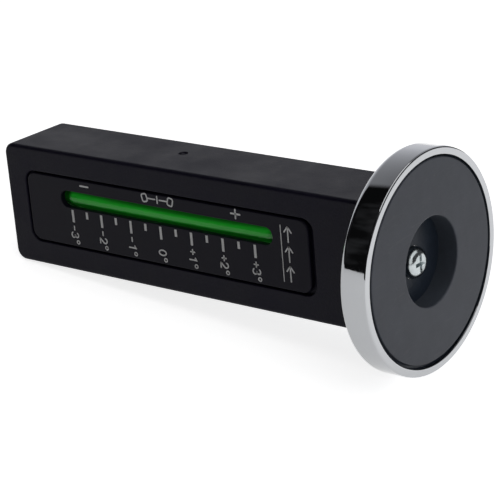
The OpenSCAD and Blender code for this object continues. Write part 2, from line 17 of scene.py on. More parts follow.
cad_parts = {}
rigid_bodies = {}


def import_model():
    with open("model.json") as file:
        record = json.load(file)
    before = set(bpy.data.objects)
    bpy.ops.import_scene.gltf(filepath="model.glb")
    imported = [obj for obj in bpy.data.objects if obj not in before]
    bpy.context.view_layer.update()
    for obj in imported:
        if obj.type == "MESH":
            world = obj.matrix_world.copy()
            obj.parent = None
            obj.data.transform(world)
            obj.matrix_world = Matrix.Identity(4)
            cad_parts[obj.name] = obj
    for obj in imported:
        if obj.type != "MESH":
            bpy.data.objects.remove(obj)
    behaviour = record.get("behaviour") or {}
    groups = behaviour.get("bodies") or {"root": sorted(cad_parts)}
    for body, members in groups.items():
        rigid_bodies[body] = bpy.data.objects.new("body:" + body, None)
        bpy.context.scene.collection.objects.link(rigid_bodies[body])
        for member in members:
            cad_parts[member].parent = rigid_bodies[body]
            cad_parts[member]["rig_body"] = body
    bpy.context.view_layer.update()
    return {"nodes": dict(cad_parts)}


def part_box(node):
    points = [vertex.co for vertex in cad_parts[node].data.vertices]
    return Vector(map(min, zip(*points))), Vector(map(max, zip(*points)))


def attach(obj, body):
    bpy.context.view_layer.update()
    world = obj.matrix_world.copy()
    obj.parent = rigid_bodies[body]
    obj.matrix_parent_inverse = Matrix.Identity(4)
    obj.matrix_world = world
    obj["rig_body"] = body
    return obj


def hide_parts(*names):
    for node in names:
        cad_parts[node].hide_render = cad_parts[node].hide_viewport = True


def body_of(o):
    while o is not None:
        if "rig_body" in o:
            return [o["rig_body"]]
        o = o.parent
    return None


bl_info = {
    "name": "Camber and caster gauge",
    "version": (1, 0, 0),
    "blender": (4, 5, 0),
    "location": "View3D > Sidebar > Gauge",
    "description": "Builds the looks of a magnetic camber and caster gauge round its packed frame",
    "category": "Mesh",
}

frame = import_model()
MM = 0.001

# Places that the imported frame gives
HOUSING_LOW, HOUSING_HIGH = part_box("housing")
PLATE_LOW, PLATE_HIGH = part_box("camber_plate")
COVER_LOW, COVER_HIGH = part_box("caster_cover")
CUP_LOW, CUP_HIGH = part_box("magnet_cup")
RING_LOW, RING_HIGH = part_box("magnet_ring")
SCREW_LOW, SCREW_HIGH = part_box("magnet_screw")
CRADLE_LOW, CRADLE_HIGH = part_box("camber_cradle")
CAMBER_TUBE_LOW, CAMBER_TUBE_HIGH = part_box("camber_tube")
CASTER_TUBE_LOW, CASTER_TUBE_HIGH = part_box("caster_tube")
KNOB_LOW, KNOB_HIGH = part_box("adjuster_knob")
BUSH_LOW, BUSH_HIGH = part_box("adjuster_bush")
WASHER_LOW, WASHER_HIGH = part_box("friction_washer")
COVER_SCREWS_LOW, COVER_SCREWS_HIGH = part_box("caster_cover_screws")
CAMBER_TICKS_LOW, CAMBER_TICKS_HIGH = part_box("camber_scale")
CASTER_TICKS_LOW, CASTER_TICKS_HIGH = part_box("caster_scale")

# The camera, solved from the photograph's perspective
IMAGE_SIZE = 500
FOCAL_PIXELS = 1931.65
SENSOR = 36.0
CAMERA_AZIMUTH = math.radians(39.79)
CAMERA_ELEVATION = math.radians(19.911)
CAMERA_ROLL = math.radians(4.872)
CAMERA_PLACE = Vector((289.63, -428.34, 194.85)) * MM

SHARP = math.radians(32)
QUARTER = math.pi / 2
STEP = 0.05 * MM                         # between the points that hold an edge's shading


# ------------------------------------------------------------------ sizes and finishes


class GaugeSizes(bpy.types.PropertyGroup):
    """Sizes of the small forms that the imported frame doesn't give."""

    corner: FloatProperty(
        name="Housing corner", description="Radius of the housing's end corners",
        default=3.6 * MM, min=1 * MM, max=6 * MM, unit="LENGTH")
    edge: FloatProperty(
        name="Housing edge", description="Radius along the housing's long edges",
        default=1.2 * MM, min=0.3 * MM, max=2.2 * MM, unit="LENGTH")
    plate_corner: FloatProperty(
        name="Plate corner", description="Corner radius of the face plate",
        default=3.4 * MM, min=1 * MM, max=5 * MM, unit="LENGTH")
    plate_edge: FloatProperty(
        name="Plate edge", description="Radius along the edges of the face plate and the cover",
        default=0.45 * MM, min=0.1 * MM, max=0.8 * MM, unit="LENGTH")
    cover_corner: FloatProperty(
        name="Cover corner", description="Corner radius of the back cover",
        default=3.0 * MM, min=1 * MM, max=5 * MM, unit="LENGTH")
    slot_long: FloatProperty(
        name="Slot length", description="Length of the slot in front of the camber vial",
        default=85.5 * MM, min=70 * MM, max=90 * MM, unit="LENGTH")
    slot_high: FloatProperty(
        name="Slot height", description="Height of the slot in front of the camber vial",
        default=5.5 * MM, min=4 * MM, max=7 * MM, unit="LENGTH")
    window_long: FloatProperty(
        name="Window length", description="Length of the window in front of the caster vial",
        default=64 * MM, min=50 * MM, max=70 * MM, unit="LENGTH")
    window_high: FloatProperty(
        name="Window height", description="Height of the window in front of the caster vial",
        default=6 * MM, min=4 * MM, max=7 * MM, unit="LENGTH")
    print_line: FloatProperty(
        name="Printed line", description="Width of the lines in the printed numerals",
        default=0.46 * MM, min=0.2 * MM, max=0.8 * MM, unit="LENGTH")
    print_thick: FloatProperty(
        name="Print thickness", description="Height of the printed marks above the plate",
        default=0.04 * MM, min=0.01 * MM, max=0.1 * MM, unit="LENGTH")
    ring_bore: FloatProperty(
        name="Ring bore", description="Diameter of the ferrite ring's bore",
        default=26.6 * MM, min=20 * MM, max=32 * MM, unit="LENGTH")
    cup_wall: FloatProperty(
        name="Cup wall", description="Thickness of the steel cup's side",
        default=2.4 * MM, min=1.5 * MM, max=3 * MM, unit="LENGTH")
    knob_flutes: IntProperty(
        name="Knob flutes", description="Number of flutes round the knob",
        default=20, min=8, max=40)


class GaugeFinishes(bpy.types.PropertyGroup):
    """Colours of the finishes."""

    moulding: FloatVectorProperty(
        name="Moulding", description="Colour of the black moulded housing",
        default=(0.0060, 0.0052, 0.0130), size=3, min=0, max=1, subtype="COLOR")
    plate: FloatVectorProperty(
        name="Plate", description="Colour of the face plate and the cover",
        default=(0.0056, 0.0049, 0.0110), size=3, min=0, max=1, subtype="COLOR")
    ink: FloatVectorProperty(
        name="Ink", description="Colour of the printed marks",
        default=(0.69, 0.69, 0.69), size=3, min=0, max=1, subtype="COLOR")
    ferrite: FloatVectorProperty(
        name="Ferrite", description="Colour of the magnet's ring",
        default=(0.050, 0.056, 0.072), size=3, min=0, max=1, subtype="COLOR")
    fluid: FloatVectorProperty(
        name="Fluid", description="Colour of the dyed fluid in the vials",
        default=(0.022, 0.42, 0.035), size=3, min=0, max=1, subtype="COLOR")
    # Painted light: the strength of the emission glow given to the vials' fluid, which is no lamp
    glow: FloatProperty(
        name="Painted glow of the fluid", description="How strongly the fluorescent dye gives back light",
        default=0.2, min=0, max=2)
    floor: FloatVectorProperty(
        name="Floor", description="Colour of the studio floor",
        default=(0.82, 0.82, 0.82), size=3, min=0, max=1, subtype="COLOR")


# ------------------------------------------------------------------ meshes from arrays


def outline(width, height, radius, centre=(0.0, 0.0), along=(0.0, 1.0), up=(0.0, 1.0), corner_steps=8):
    """A round-cornered rectangle's outline, anticlockwise from its lower left, as an (n, 2) array.

    Each side runs between its corners' ends at the fractions along (or up), and each corner
    is centre + radius * (cos a, sin a) with a in equal steps. Outlines with the same
    fractions and steps have matching points, so they can be joined into a surface.
    """
    w, h = width / 2 - radius, height / 2 - radius
    across, rise = -w + 2 * w * np.asarray(along), -h + 2 * h * np.asarray(up)
    turn = np.linspace(0, QUARTER, corner_steps + 1)[1:-1]

    def corner(x, y, start):
        return np.column_stack((x + radius * np.cos(start + turn), y + radius * np.sin(start + turn)))

    def side(x, y):
        return np.column_stack(np.broadcast_arrays(x, y))

    return np.concatenate((
        side(across, -height / 2), corner(w, -h, -QUARTER), side(width / 2, rise), corner(w, h, 0.0),
        side(across[::-1], height / 2), corner(-w, h, QUARTER), side(-width / 2, rise[::-1]),
        corner(-w, -h, math.pi))) + np.asarray(centre)


def ring_maker(along, up):
    """A function that places a round-cornered rectangle at y, with X and Z as its sides.

    It takes (y, size, corner, centre, grow), and grow moves every side out by that length.
    """
    def ring(y, size, corner, centre, grow=0.0):
        x, z = outline(size[0] + 2 * grow, size[1] + 2 * grow, corner + grow, centre, along, up).T
        return np.column_stack((x, np.full_like(x, y), z))
    return ring


def bend(radius, steps=5):
    """A rounded edge as rows of radius * (1 - sin t) and radius * (1 - cos t), for t from 0 to a right angle."""
    t = np.linspace(0, QUARTER, steps)
    return radius * np.column_stack((1 - np.sin(t), 1 - np.cos(t)))


def joined(rings, closed=False):
    """Points and faces of a surface through rings, an (r, n, 3) array of closed outlines.

    Quads join each ring to the next. An open run gets a flat face on its first and last
    ring, and a closed one joins its last ring to its first.
    """
    rings = np.asarray(rings, float)
    r, n = rings.shape[:2]
    row = np.arange(r if closed else r - 1)[:, None]
    col = np.arange(n)[None, :]
    ahead, below = (col + 1) % n, (row + 1) % r * n
    faces = np.stack((row * n + col, row * n + ahead, below + ahead, below + col), -1).reshape(-1, 4).tolist()
    if not closed:
        faces += [list(range(n - 1, -1, -1)), list(range((r - 1) * n, r * n))]
    return rings.reshape(-1, 3), faces


def turned(profile, centre, axis="X", steps=128, closed=False, wave=None, drift=0.0):
    """Rings of a turned shape: each (place, radius) of the profile makes a circle round the axis.

    A point is centre + place along the axis + radius * (cos a, sin a) across it. wave, where
    given, is a function of a and the place that multiplies the radius, and drift gives each
    circle its own shift across the axis.
    """
    profile = np.asarray(profile, float)
    angle = np.linspace(0, 2 * math.pi, steps, endpoint=False)[None, :]
    place, radius = profile[:, :1], profile[:, 1:]
    if wave is not None:
        radius = radius * wave(angle, place)
    drift = np.broadcast_to(drift, (len(profile), 2))
    u, v = radius * np.cos(angle) + drift[:, :1], radius * np.sin(angle) + drift[:, 1:]
    along = np.broadcast_to(place, u.shape)
    columns = {"X": (along, u, v), "Y": (v, along, u)}[axis]
    return joined(np.stack(columns, -1) + np.asarray(centre, float), closed)


def arc(cx, cy, rx, ry, start, end, steps=12):
    """Points on an ellipse from start to end degrees, as an (n, 2) array."""
    a = np.radians(np.linspace(start, end, steps + 1))
    return np.column_stack((cx + rx * np.cos(a), cy + ry * np.sin(a)))


def straight(x0, y0, x1, y1):
    """The two ends of a straight line and its middle, as a (3, 2) array."""
    return np.column_stack((np.linspace(x0, x1, 3), np.linspace(y0, y1, 3)))


def stroke(points, width, thick, closed=False, end_steps=4):
    """A printed line as a flat strip that follows points, with round ends.

    At each point the strip reaches half its width each way, square to the line there. Past
    an open end the half width falls as sqrt(1 - s^2) over a distance of half the width.
    The strip lies in the first two axes and is thick along the third.
    """
    p = np.asarray(points, float)
    half = np.full(len(p), width / 2)
    if closed:
        p, half = p[:-1], half[:-1]
        ahead, behind = np.roll(p, -1, 0), np.roll(p, 1, 0)
    else:
        s = np.sin(np.linspace(0, QUARTER, end_steps + 1)[1:])
        first, last = p[0] - p[1], p[-1] - p[-2]
        start = p[0] + first / np.linalg.norm(first) * (s[::-1, None] * width / 2)
        stop = p[-1] + last / np.linalg.norm(last) * (s[:, None] * width / 2)
        fall = np.sqrt(np.clip(1 - s**2, 0, 1)) * width / 2 + 1e-7
        p = np.concatenate((start, p, stop))
        half = np.concatenate((fall[::-1], half, fall))
        ahead, behind = np.concatenate((p[1:], p[-1:])), np.concatenate((p[:1], p[:-1]))
    run = ahead - behind
    run /= np.linalg.norm(run, axis=1)[:, None]
    before = p - behind
    length = np.linalg.norm(before, axis=1)[:, None]
    before = np.where(length > 1e-12, before / np.maximum(length, 1e-12), run)
    spread = 1 / np.clip(np.sum(run * before, axis=1), 0.6, 1)
    side = np.column_stack((-run[:, 1], run[:, 0])) * (half * spread)[:, None]
    corners = ((p + side, thick), (p - side, thick), (p - side, 0.0), (p + side, 0.0))
    return joined(np.stack([np.column_stack((q, np.full(len(p), z))) for q, z in corners], 1), closed)


def together(parts):
    """Several (points, faces) pairs as one."""
    points, faces, start = [], [], 0
    for p, f in parts:
        points.append(p)
        faces += [[i + start for i in face] for face in f]
        start += len(p)
    return np.concatenate(points), faces


def shade_smooth(mesh):
    """Smooth shading, with the edges past the sharp angle kept sharp."""
    mesh.polygons.foreach_set("use_smooth", np.ones(len(mesh.polygons), bool))
    mesh.set_sharp_from_angle(angle=SHARP)


def make_piece(name, shape, material, body, cad_nodes=(), slot=None):
    """Puts points and faces into a new object that rides on a CAD body and stands for its CAD nodes."""
    points, faces = shape
    mesh = bpy.data.meshes.new(name)
    mesh.from_pydata(points, [], faces)
    solid = bmesh.new()
    solid.from_mesh(mesh)
    bmesh.ops.remove_doubles(solid, verts=solid.verts, dist=2e-7)
    bmesh.ops.dissolve_degenerate(solid, edges=solid.edges, dist=1e-8)
    bmesh.ops.recalc_face_normals(solid, faces=solid.faces)
    solid.to_mesh(mesh)
    solid.free()
    shade_smooth(mesh)
    mesh.materials.append(material)
    piece = bpy.data.objects.new(name, mesh)
    bpy.context.scene.collection.objects.link(piece)
    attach(piece, body)
    if cad_nodes:
        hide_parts(*cad_nodes)
    return piece


def cut_from(piece, cutters):
    """Cuts closed (points, faces) shapes out of a piece and keeps its name, material and body."""
    material = piece.data.materials[0]
    for shape in cutters:
        tool = make_piece("cutter", shape, material, body_of(piece)[0])
        cut = piece.modifiers.new("cut", "BOOLEAN")
        cut.operation, cut.solver, cut.object = "DIFFERENCE", "EXACT", tool
        bpy.context.view_layer.update()
        depsgraph = bpy.context.evaluated_depsgraph_get()
        mesh = bpy.data.meshes.new_from_object(piece.evaluated_get(depsgraph))
        piece.modifiers.clear()
        old, piece.data = piece.data, mesh
        mesh.name = piece.name
        bpy.data.meshes.remove(old)
        bpy.data.meshes.remove(tool.data)
    shade_smooth(mesh)


# ------------------------------------------------------------------ nodes and node groups


def feed(tree, node, inputs):
    """Gives each of a node's inputs its plain value, or links it to a socket."""
    for key, value in inputs.items():
        if isinstance(value, bpy.types.NodeSocket):
            tree.links.new(value, node.inputs[key])
        else:
            node.inputs[key].default_value = value


def add_node(tree, kind, inputs=None, **settings):
    """A new node with its settings, whose inputs are fed with values or sockets."""
    node = tree.nodes.new(kind)
    for key, value in settings.items():
        setattr(node, key, value)
    feed(tree, node, inputs or {})
    return node


def ramp(tree, value, start, end, low, high, smooth=False):
    """The output of a node that carries a value from start..end to low..high, held at both ends."""
    return add_node(tree, "ShaderNodeMapRange", {
        "Value": value, "From Min": start, "From Max": end, "To Min": low, "To Max": high},
        interpolation_type="SMOOTHSTEP" if smooth else "LINEAR").outputs[0]


def math_node(tree, operation, first, second=0.0):
    """The output of a math node on two values, each a socket or a number."""
    return add_node(tree, "ShaderNodeMath", {0: first, 1: second}, operation=operation).outputs[0]


def vector_node(tree, operation, inputs):
    """The outputs of a vector math node."""
    return add_node(tree, "ShaderNodeVectorMath", inputs, operation=operation).outputs


def scaled(tree, colour, amount):
    """A colour times an amount that changes over the surface."""
    return vector_node(tree, "SCALE", {0: tuple(colour), "Scale": amount})[0]


def projected(tree, place, direction):
    """How far a place lies along a direction."""
    return vector_node(tree, "DOT_PRODUCT", {0: place, 1: direction})["Value"]


def node_group(name, inputs, outputs):
    """A new shader node group with named inputs (name, kind, default) and outputs (name, kind)."""
    group = bpy.data.node_groups.new(name, "ShaderNodeTree")
    for label, kind, value in inputs:
        socket = group.interface.new_socket(label, in_out="INPUT", socket_type=kind)
        if value is not None:
            socket.default_value = value
    for label, kind in outputs:
        group.interface.new_socket(label, in_out="OUTPUT", socket_type=kind)
    return group, group.nodes.new("NodeGroupInput").outputs, group.nodes.new("NodeGroupOutput")


def grain_group():
    """Fine moulded or cast grain: a bump height and a patchy mask, both from noise on the place."""
    name = "Fine grain"
    if name in bpy.data.node_groups:
        return bpy.data.node_groups[name]
    group, given, put = node_group(
        name,
        [("Place", "NodeSocketVector", None), ("Grains per metre", "NodeSocketFloat", 2500.0),
         ("Patches per metre", "NodeSocketFloat", 60.0)],
        [("Height", "NodeSocketFloat"), ("Patches", "NodeSocketFloat")])
    fine = add_node(group, "ShaderNodeTexNoise", {
        "Vector": given["Place"], "Scale": given["Grains per metre"], "Detail": 2.0, "Roughness": 0.55})
    coarse = add_node(group, "ShaderNodeTexNoise", {
        "Vector": given["Place"], "Scale": given["Patches per metre"], "Detail": 3.0, "Roughness": 0.6})
    feed(group, put, {"Height": fine.outputs["Fac"], "Patches": coarse.outputs["Fac"]})
    return group


def scuff_group():
    """Thin scuffs: stretched noise cut to a narrow band, which is 1 on a scuff and 0 elsewhere."""
    name = "Scuffs"
    if name in bpy.data.node_groups:
        return bpy.data.node_groups[name]
    group, given, put = node_group(
        name,
        [("Place", "NodeSocketVector", None), ("Stretch", "NodeSocketVector", (1.0, 1.0, 1.0)),
         ("Scuffs per metre", "NodeSocketFloat", 300.0), ("Width", "NodeSocketFloat", 0.012)],
        [("Mask", "NodeSocketFloat")])
    stretched = vector_node(group, "MULTIPLY", {0: given["Place"], 1: given["Stretch"]})
    noise = add_node(group, "ShaderNodeTexNoise", {
        "Vector": stretched[0], "Scale": given["Scuffs per metre"], "Detail": 1.0, "Distortion": 0.3})
    apart = math_node(group, "ABSOLUTE", math_node(group, "SUBTRACT", noise.outputs["Fac"], 0.5))
    feed(group, put, {"Mask": ramp(group, apart, 0.0, given["Width"], 1.0, 0.0)})
    return group


# ------------------------------------------------------------------ materials

SCUFF_COLOUR = (0.16, 0.16, 0.16, 1.0)
FERRITE_GROUND = (-0.45 * MM, -0.2 * MM)  # from the unground skin to the ground face, in X
FERRITE_SKIN_AND_BORE_SHADE = (0.72, 0.77, 0.78, 1.0)    # the unground skin's tone over the ground face's, darker partly as painted shade on the bore's wall


def new_material(name):
    """A material with a Principled BSDF, and its tree, shader and object coordinates."""
    material = bpy.data.materials.new(name)
    material.use_nodes = True
    tree = material.node_tree
    return material, tree, tree.nodes["Principled BSDF"], add_node(tree, "ShaderNodeTexCoord").outputs["Object"]


def grain_node(tree, place, patches, grains=2500.0):
    """The grain group in a material, at a place."""
    return add_node(tree, "ShaderNodeGroup", {
        "Place": place, "Grains per metre": grains, "Patches per metre": patches}, node_tree=grain_group())


def grained(name, colour, rough, grains, patches, bump, rough_swing, tone_swing,
            metal=0.0, gloss_level=0.5, scuffs=None):
    """A material whose tone and gloss vary in patches, with a fine bump.

    Base colour is colour * (1 -+ tone_swing) and roughness is rough -+ rough_swing by the
    patches. The bump's distance is bump. scuffs, where given, is (stretch, per metre, width, lift)
    and lightens the colour along thin lines.
    """
    if name in bpy.data.materials:
        return bpy.data.materials[name]
    material, tree, shader, place = new_material(name)
    grain = grain_node(tree, place, patches, grains)
    patchy = grain.outputs["Patches"]
    tone = scaled(tree, colour, ramp(tree, patchy, 0.3, 0.7, 1 - tone_swing, 1 + tone_swing))
    if scuffs:
        stretch, count, width, lift = scuffs
        worn = add_node(tree, "ShaderNodeGroup", {
            "Place": place, "Stretch": stretch, "Scuffs per metre": count, "Width": width},
            node_tree=scuff_group())
        tone = add_node(tree, "ShaderNodeMix", {
            "Factor": math_node(tree, "MULTIPLY", worn.outputs["Mask"], lift), "A": tone, "B": SCUFF_COLOUR},
            data_type="RGBA").outputs["Result"]
    relief = add_node(tree, "ShaderNodeBump", {
        "Strength": 1.0, "Distance": bump, "Height": grain.outputs["Height"]})
    feed(tree, shader, {
        "Base Color": tone, "Roughness": ramp(tree, patchy, 0.3, 0.7, rough - rough_swing, rough + rough_swing),
        "Normal": relief.outputs[0], "Metallic": metal, "Specular IOR Level": gloss_level})
    return material


def ferrite(colour):
    """Ferrite: ground on the magnet's face, and behind it a rougher unground skin, masked by the place in X. The
    skin's darker tone is partly the real skin and partly painted shade on the bore's wall.
    """
    name = "Ferrite"
    if name in bpy.data.materials:
        return bpy.data.materials[name]
    material = grained(name, colour, 0.5, 1800, 120, 0.00002, 0.05, 0.10, gloss_level=0.33,
                       scuffs=((1.0, 0.12, 1.0), 500.0, 0.010, 0.10))
    tree = material.node_tree
    shader = tree.nodes["Principled BSDF"]
    parts = add_node(tree, "ShaderNodeSeparateXYZ", {0: tree.nodes["Texture Coordinate"].outputs["Object"]})
    # The darker skin tone, partly painted shade inside the ring's bore, is mixed in behind the ground face
    skin = add_node(tree, "ShaderNodeMix", {
        "Factor": ramp(tree, parts.outputs["X"], *FERRITE_GROUND, 0.0, 1.0), "A": FERRITE_SKIN_AND_BORE_SHADE,
        "B": (1.0, 1.0, 1.0, 1.0)}, data_type="RGBA")
    tone = shader.inputs["Base Color"].links[0].from_socket
    tinted = vector_node(tree, "MULTIPLY", {0: tone, 1: skin.outputs["Result"]})
    feed(tree, shader, {
        "Base Color": tinted[0], "Roughness": ramp(tree, parts.outputs["X"], *FERRITE_GROUND, 0.8, 0.5)})
    return material


def plain(name, inputs):
    """A material of constant values, for the clear and glowing pieces."""
    if name in bpy.data.materials:
        return bpy.data.materials[name]
    material, tree, shader, _ = new_material(name)
    feed(tree, shader, inputs)
    return material


def dyed_fluid(name, colour, glow, axis_z, opening):
    """Green fluid with painted light: an emission glow, though it is no lamp, seen through its opening, which is
    (lowest X, highest X).

    Its tone, which feeds both the base colour and the glow, varies a little at random and carries painted shade:
    it is darker near the opening's ends, as painted shade of the opening's end walls. Across the vial it is full
    from 0.5 mm under the axis to 0.6 mm over it, and darker above and below as painted shade of the opening's
    upper and lower edges.
    """
    if name in bpy.data.materials:
        return bpy.data.materials[name]
    material, tree, shader, place = new_material(name)
    parts = add_node(tree, "ShaderNodeSeparateXYZ", {0: place})
    x, z = parts.outputs["X"], parts.outputs["Z"]
    amount = ramp(tree, grain_node(tree, place, 90.0).outputs["Patches"], 0.3, 0.7, 0.95, 1.05)
    # Painted shade: the tone is darkened near the opening's ends and above and below the axis, where the opening's
    # walls and edges shade the fluid
    for value, edge, start, end, low in (
            (x, opening[0], -0.4, 1.6, 0.15), (x, opening[1], -1.9, -5.2, 0.25),
            (z, axis_z, 1.6, 0.6, 0.3), (z, axis_z, -1.3, -0.5, 0.3)):
        amount = math_node(tree, "MULTIPLY", amount,
                           ramp(tree, value, edge + start * MM, edge + end * MM, low, 1.0, True))
    tone = scaled(tree, colour, amount)
    # Painted light: the shaded tone also feeds the emission, so the fluid glows though it is no lamp
    feed(tree, shader, {"Base Color": tone, "Emission Color": tone, "Emission Strength": glow,
                        "Specular IOR Level": 0.05, "Roughness": 0.3})
    return material


def finishes():
    """The finishes by name, made once."""
    look, sizes = bpy.context.scene.gauge_finishes, bpy.context.scene.gauge_sizes
    slot, window = sizes.slot_long / 2, sizes.window_long / 2
    # Of each grained finish: name, colour, roughness, grains and patches per metre, the bump's
    # distance, and the swings of the roughness and the tone
    return {
        "moulding": grained("Black moulding", look.moulding, 0.46, 2200, 70, 0.00009, 0.06, 0.18,
                            gloss_level=0.118),
        "plate": grained("Black face plate", look.plate, 0.42, 3000, 60, 0.00003, 0.04, 0.10, gloss_level=0.105),
        "ink": grained("White print", look.ink, 0.55, 4000, 300, 0.00001, 0.05, 0.04, gloss_level=0.3),
        "ferrite": ferrite(look.ferrite),
        "glue": grained("Black resin", (0.021, 0.029, 0.043), 0.4, 900, 150, 0.00006, 0.08, 0.1, gloss_level=0.2),
        "chrome": grained("Chrome", (0.47, 0.48, 0.495), 0.05, 1500, 25, 0.000002, 0.02, 0.03, metal=1.0),
        "zinc": grained("Zinc plated steel", (0.50, 0.54, 0.55), 0.2, 2500, 300, 0.00002, 0.06, 0.1, metal=1.0),
        "steel": grained("Ground steel", (0.52, 0.52, 0.53), 0.28, 2500, 300, 0.00001, 0.05, 0.08, metal=1.0),
        "black_steel": grained("Blackened steel", (0.03, 0.03, 0.032), 0.35, 2500, 300, 0.00001, 0.05, 0.1,
                               metal=0.6),
        "brass": grained("Brass", (0.60, 0.40, 0.14), 0.28, 2000, 200, 0.00001, 0.06, 0.08, metal=1.0),
        "white": grained("White moulding", (0.70, 0.74, 0.68), 0.45, 2500, 80, 0.00002, 0.04, 0.04),
        "putty": grained("Set putty", (0.60, 0.58, 0.50), 0.8, 1500, 400, 0.00008, 0.05, 0.10),
        "plug": grained("Green plug", (0.01, 0.10, 0.02), 0.3, 1500, 200, 0.00001, 0.05, 0.06),
        "knob": grained("Black knob", (0.010, 0.010, 0.012), 0.42, 2600, 60, 0.00004, 0.05, 0.1, gloss_level=0.3),
        "acrylic": plain("Clear acrylic", {
            "Base Color": (0.55, 0.95, 0.58, 1.0), "Roughness": 0.02, "IOR": 1.49,
            "Specular Tint": (0.55, 0.58, 0.55, 1.0), "Transmission Weight": 1.0}),
        "camber_fluid": dyed_fluid("Dyed fluid behind the slot", look.fluid, look.glow,
                                   (CAMBER_TUBE_LOW.z + CAMBER_TUBE_HIGH.z) / 2, (SLOT_X - slot, SLOT_X + slot)),
        "caster_fluid": dyed_fluid("Dyed fluid behind the window", look.fluid, look.glow,
                                   (CASTER_TUBE_LOW.z + CASTER_TUBE_HIGH.z) / 2,
                                   (WINDOW_X - window, WINDOW_X + window)),
        # Painted light: the bubble is given a faint green emission glow, though it is no lamp
        "bubble": plain("Bubble", {
            "Base Color": (0.55, 0.95, 0.55, 1.0), "Roughness": 0.08,
            "Emission Color": (0.45, 1.0, 0.5, 1.0), "Emission Strength": 0.15}),
    }


# ------------------------------------------------------------------ shapes of the pieces

GATE_PLACE = (-92.7 * MM, 2.4 * MM)      # of the moulding gate's dimple, in X and Y
GATE_RADIUS = 1.6 * MM
GATE_REACH = GATE_RADIUS * 1.15          # of the close points round it
GATE_DEPTH = 0.48 * MM
GATE_WALL = 0.25 * MM                    # width of the dimple's sloping side
GATE_STUB = 0.3 * MM                     # height of the cut stub in its middle
GATE_STUB_RADIUS = 0.6 * MM
RECESS_MARGIN_FREE = 0.8 * MM            # open gap round the face plate
RECESS_MARGIN_MAGNET = 1.9 * MM
RECESS_MARGIN = 0.6 * MM
RECESS_LIP = 0.34 * MM                   # radius along the recess's edge
COVER_MARGIN = 0.3 * MM
HAIR = 0.15 * MM                         # radius of the pockets' corners and width of the cover's bevel
HOLE_EDGE = 0.22 * MM                    # radius round the slot and the window
SLOT_Z = 4.45 * MM
SCALE_OFF = -1.2 * MM                    # the scale's zero from the slot's middle
DEGREE_PITCH = 12.36 * MM
CASTER_PITCH = 7.0 * MM
TICK_WIDTH = 0.9 * MM
SHORT_TICK = 0.55                        # of a long tick's length
POCKET_GAP = 0.25 * MM
CASTER_POCKET = (-145.15 * MM, -42.8 * MM, 7.7 * MM, 1.25 * MM)   # lowest X, highest X, half height, floor Y

CUP_FLOOR = CUP_LOW.x + 2.5 * MM
CUP_BACK_ROUND = 2.4 * MM
CUP_HOLE = 3.6 * MM                      # radius of the hole for the screw
CUP_REST = 2.2 * MM                      # how far in from its back the cup's side meets the floor
CHAMFER = 0.5 * MM                       # outside the cup's rim
CUP_LIP = 0.35 * MM                      # inside the cup's rim
RING_EDGE = 0.25 * MM
RESIN_TOP = -1.3 * MM                    # of the resin's surface in the gap, in X
RESIN_HOLE = 4.9 * MM                    # radius of the resin's hole round the screw

RECESS_LEFT = PLATE_LOW.x - RECESS_MARGIN_FREE
RECESS_RIGHT = PLATE_HIGH.x + RECESS_MARGIN_MAGNET
RECESS_HALF = PLATE_HIGH.z + RECESS_MARGIN
SLOT_X = (RECESS_LEFT + RECESS_RIGHT) / 2
WINDOW_X = (CASTER_TUBE_LOW.x + CASTER_TUBE_HIGH.x) / 2
KNOB_X = (KNOB_LOW.x + KNOB_HIGH.x) / 2
FRONT_Y, BACK_Y = HOUSING_LOW.y, HOUSING_HIGH.y


def gate_fractions(low, high, centre, spread, fine=25):
    """Fractions along a side, close together round the gate's dimple and a few elsewhere."""
    near = (centre - spread - low) / (high - low), (centre + spread - low) / (high - low)
    rest = np.array([0.0, 1e-3, 0.25, 0.75, 1 - 1e-3, 1.0])
    return np.unique(np.concatenate((rest, np.linspace(*near, fine))))


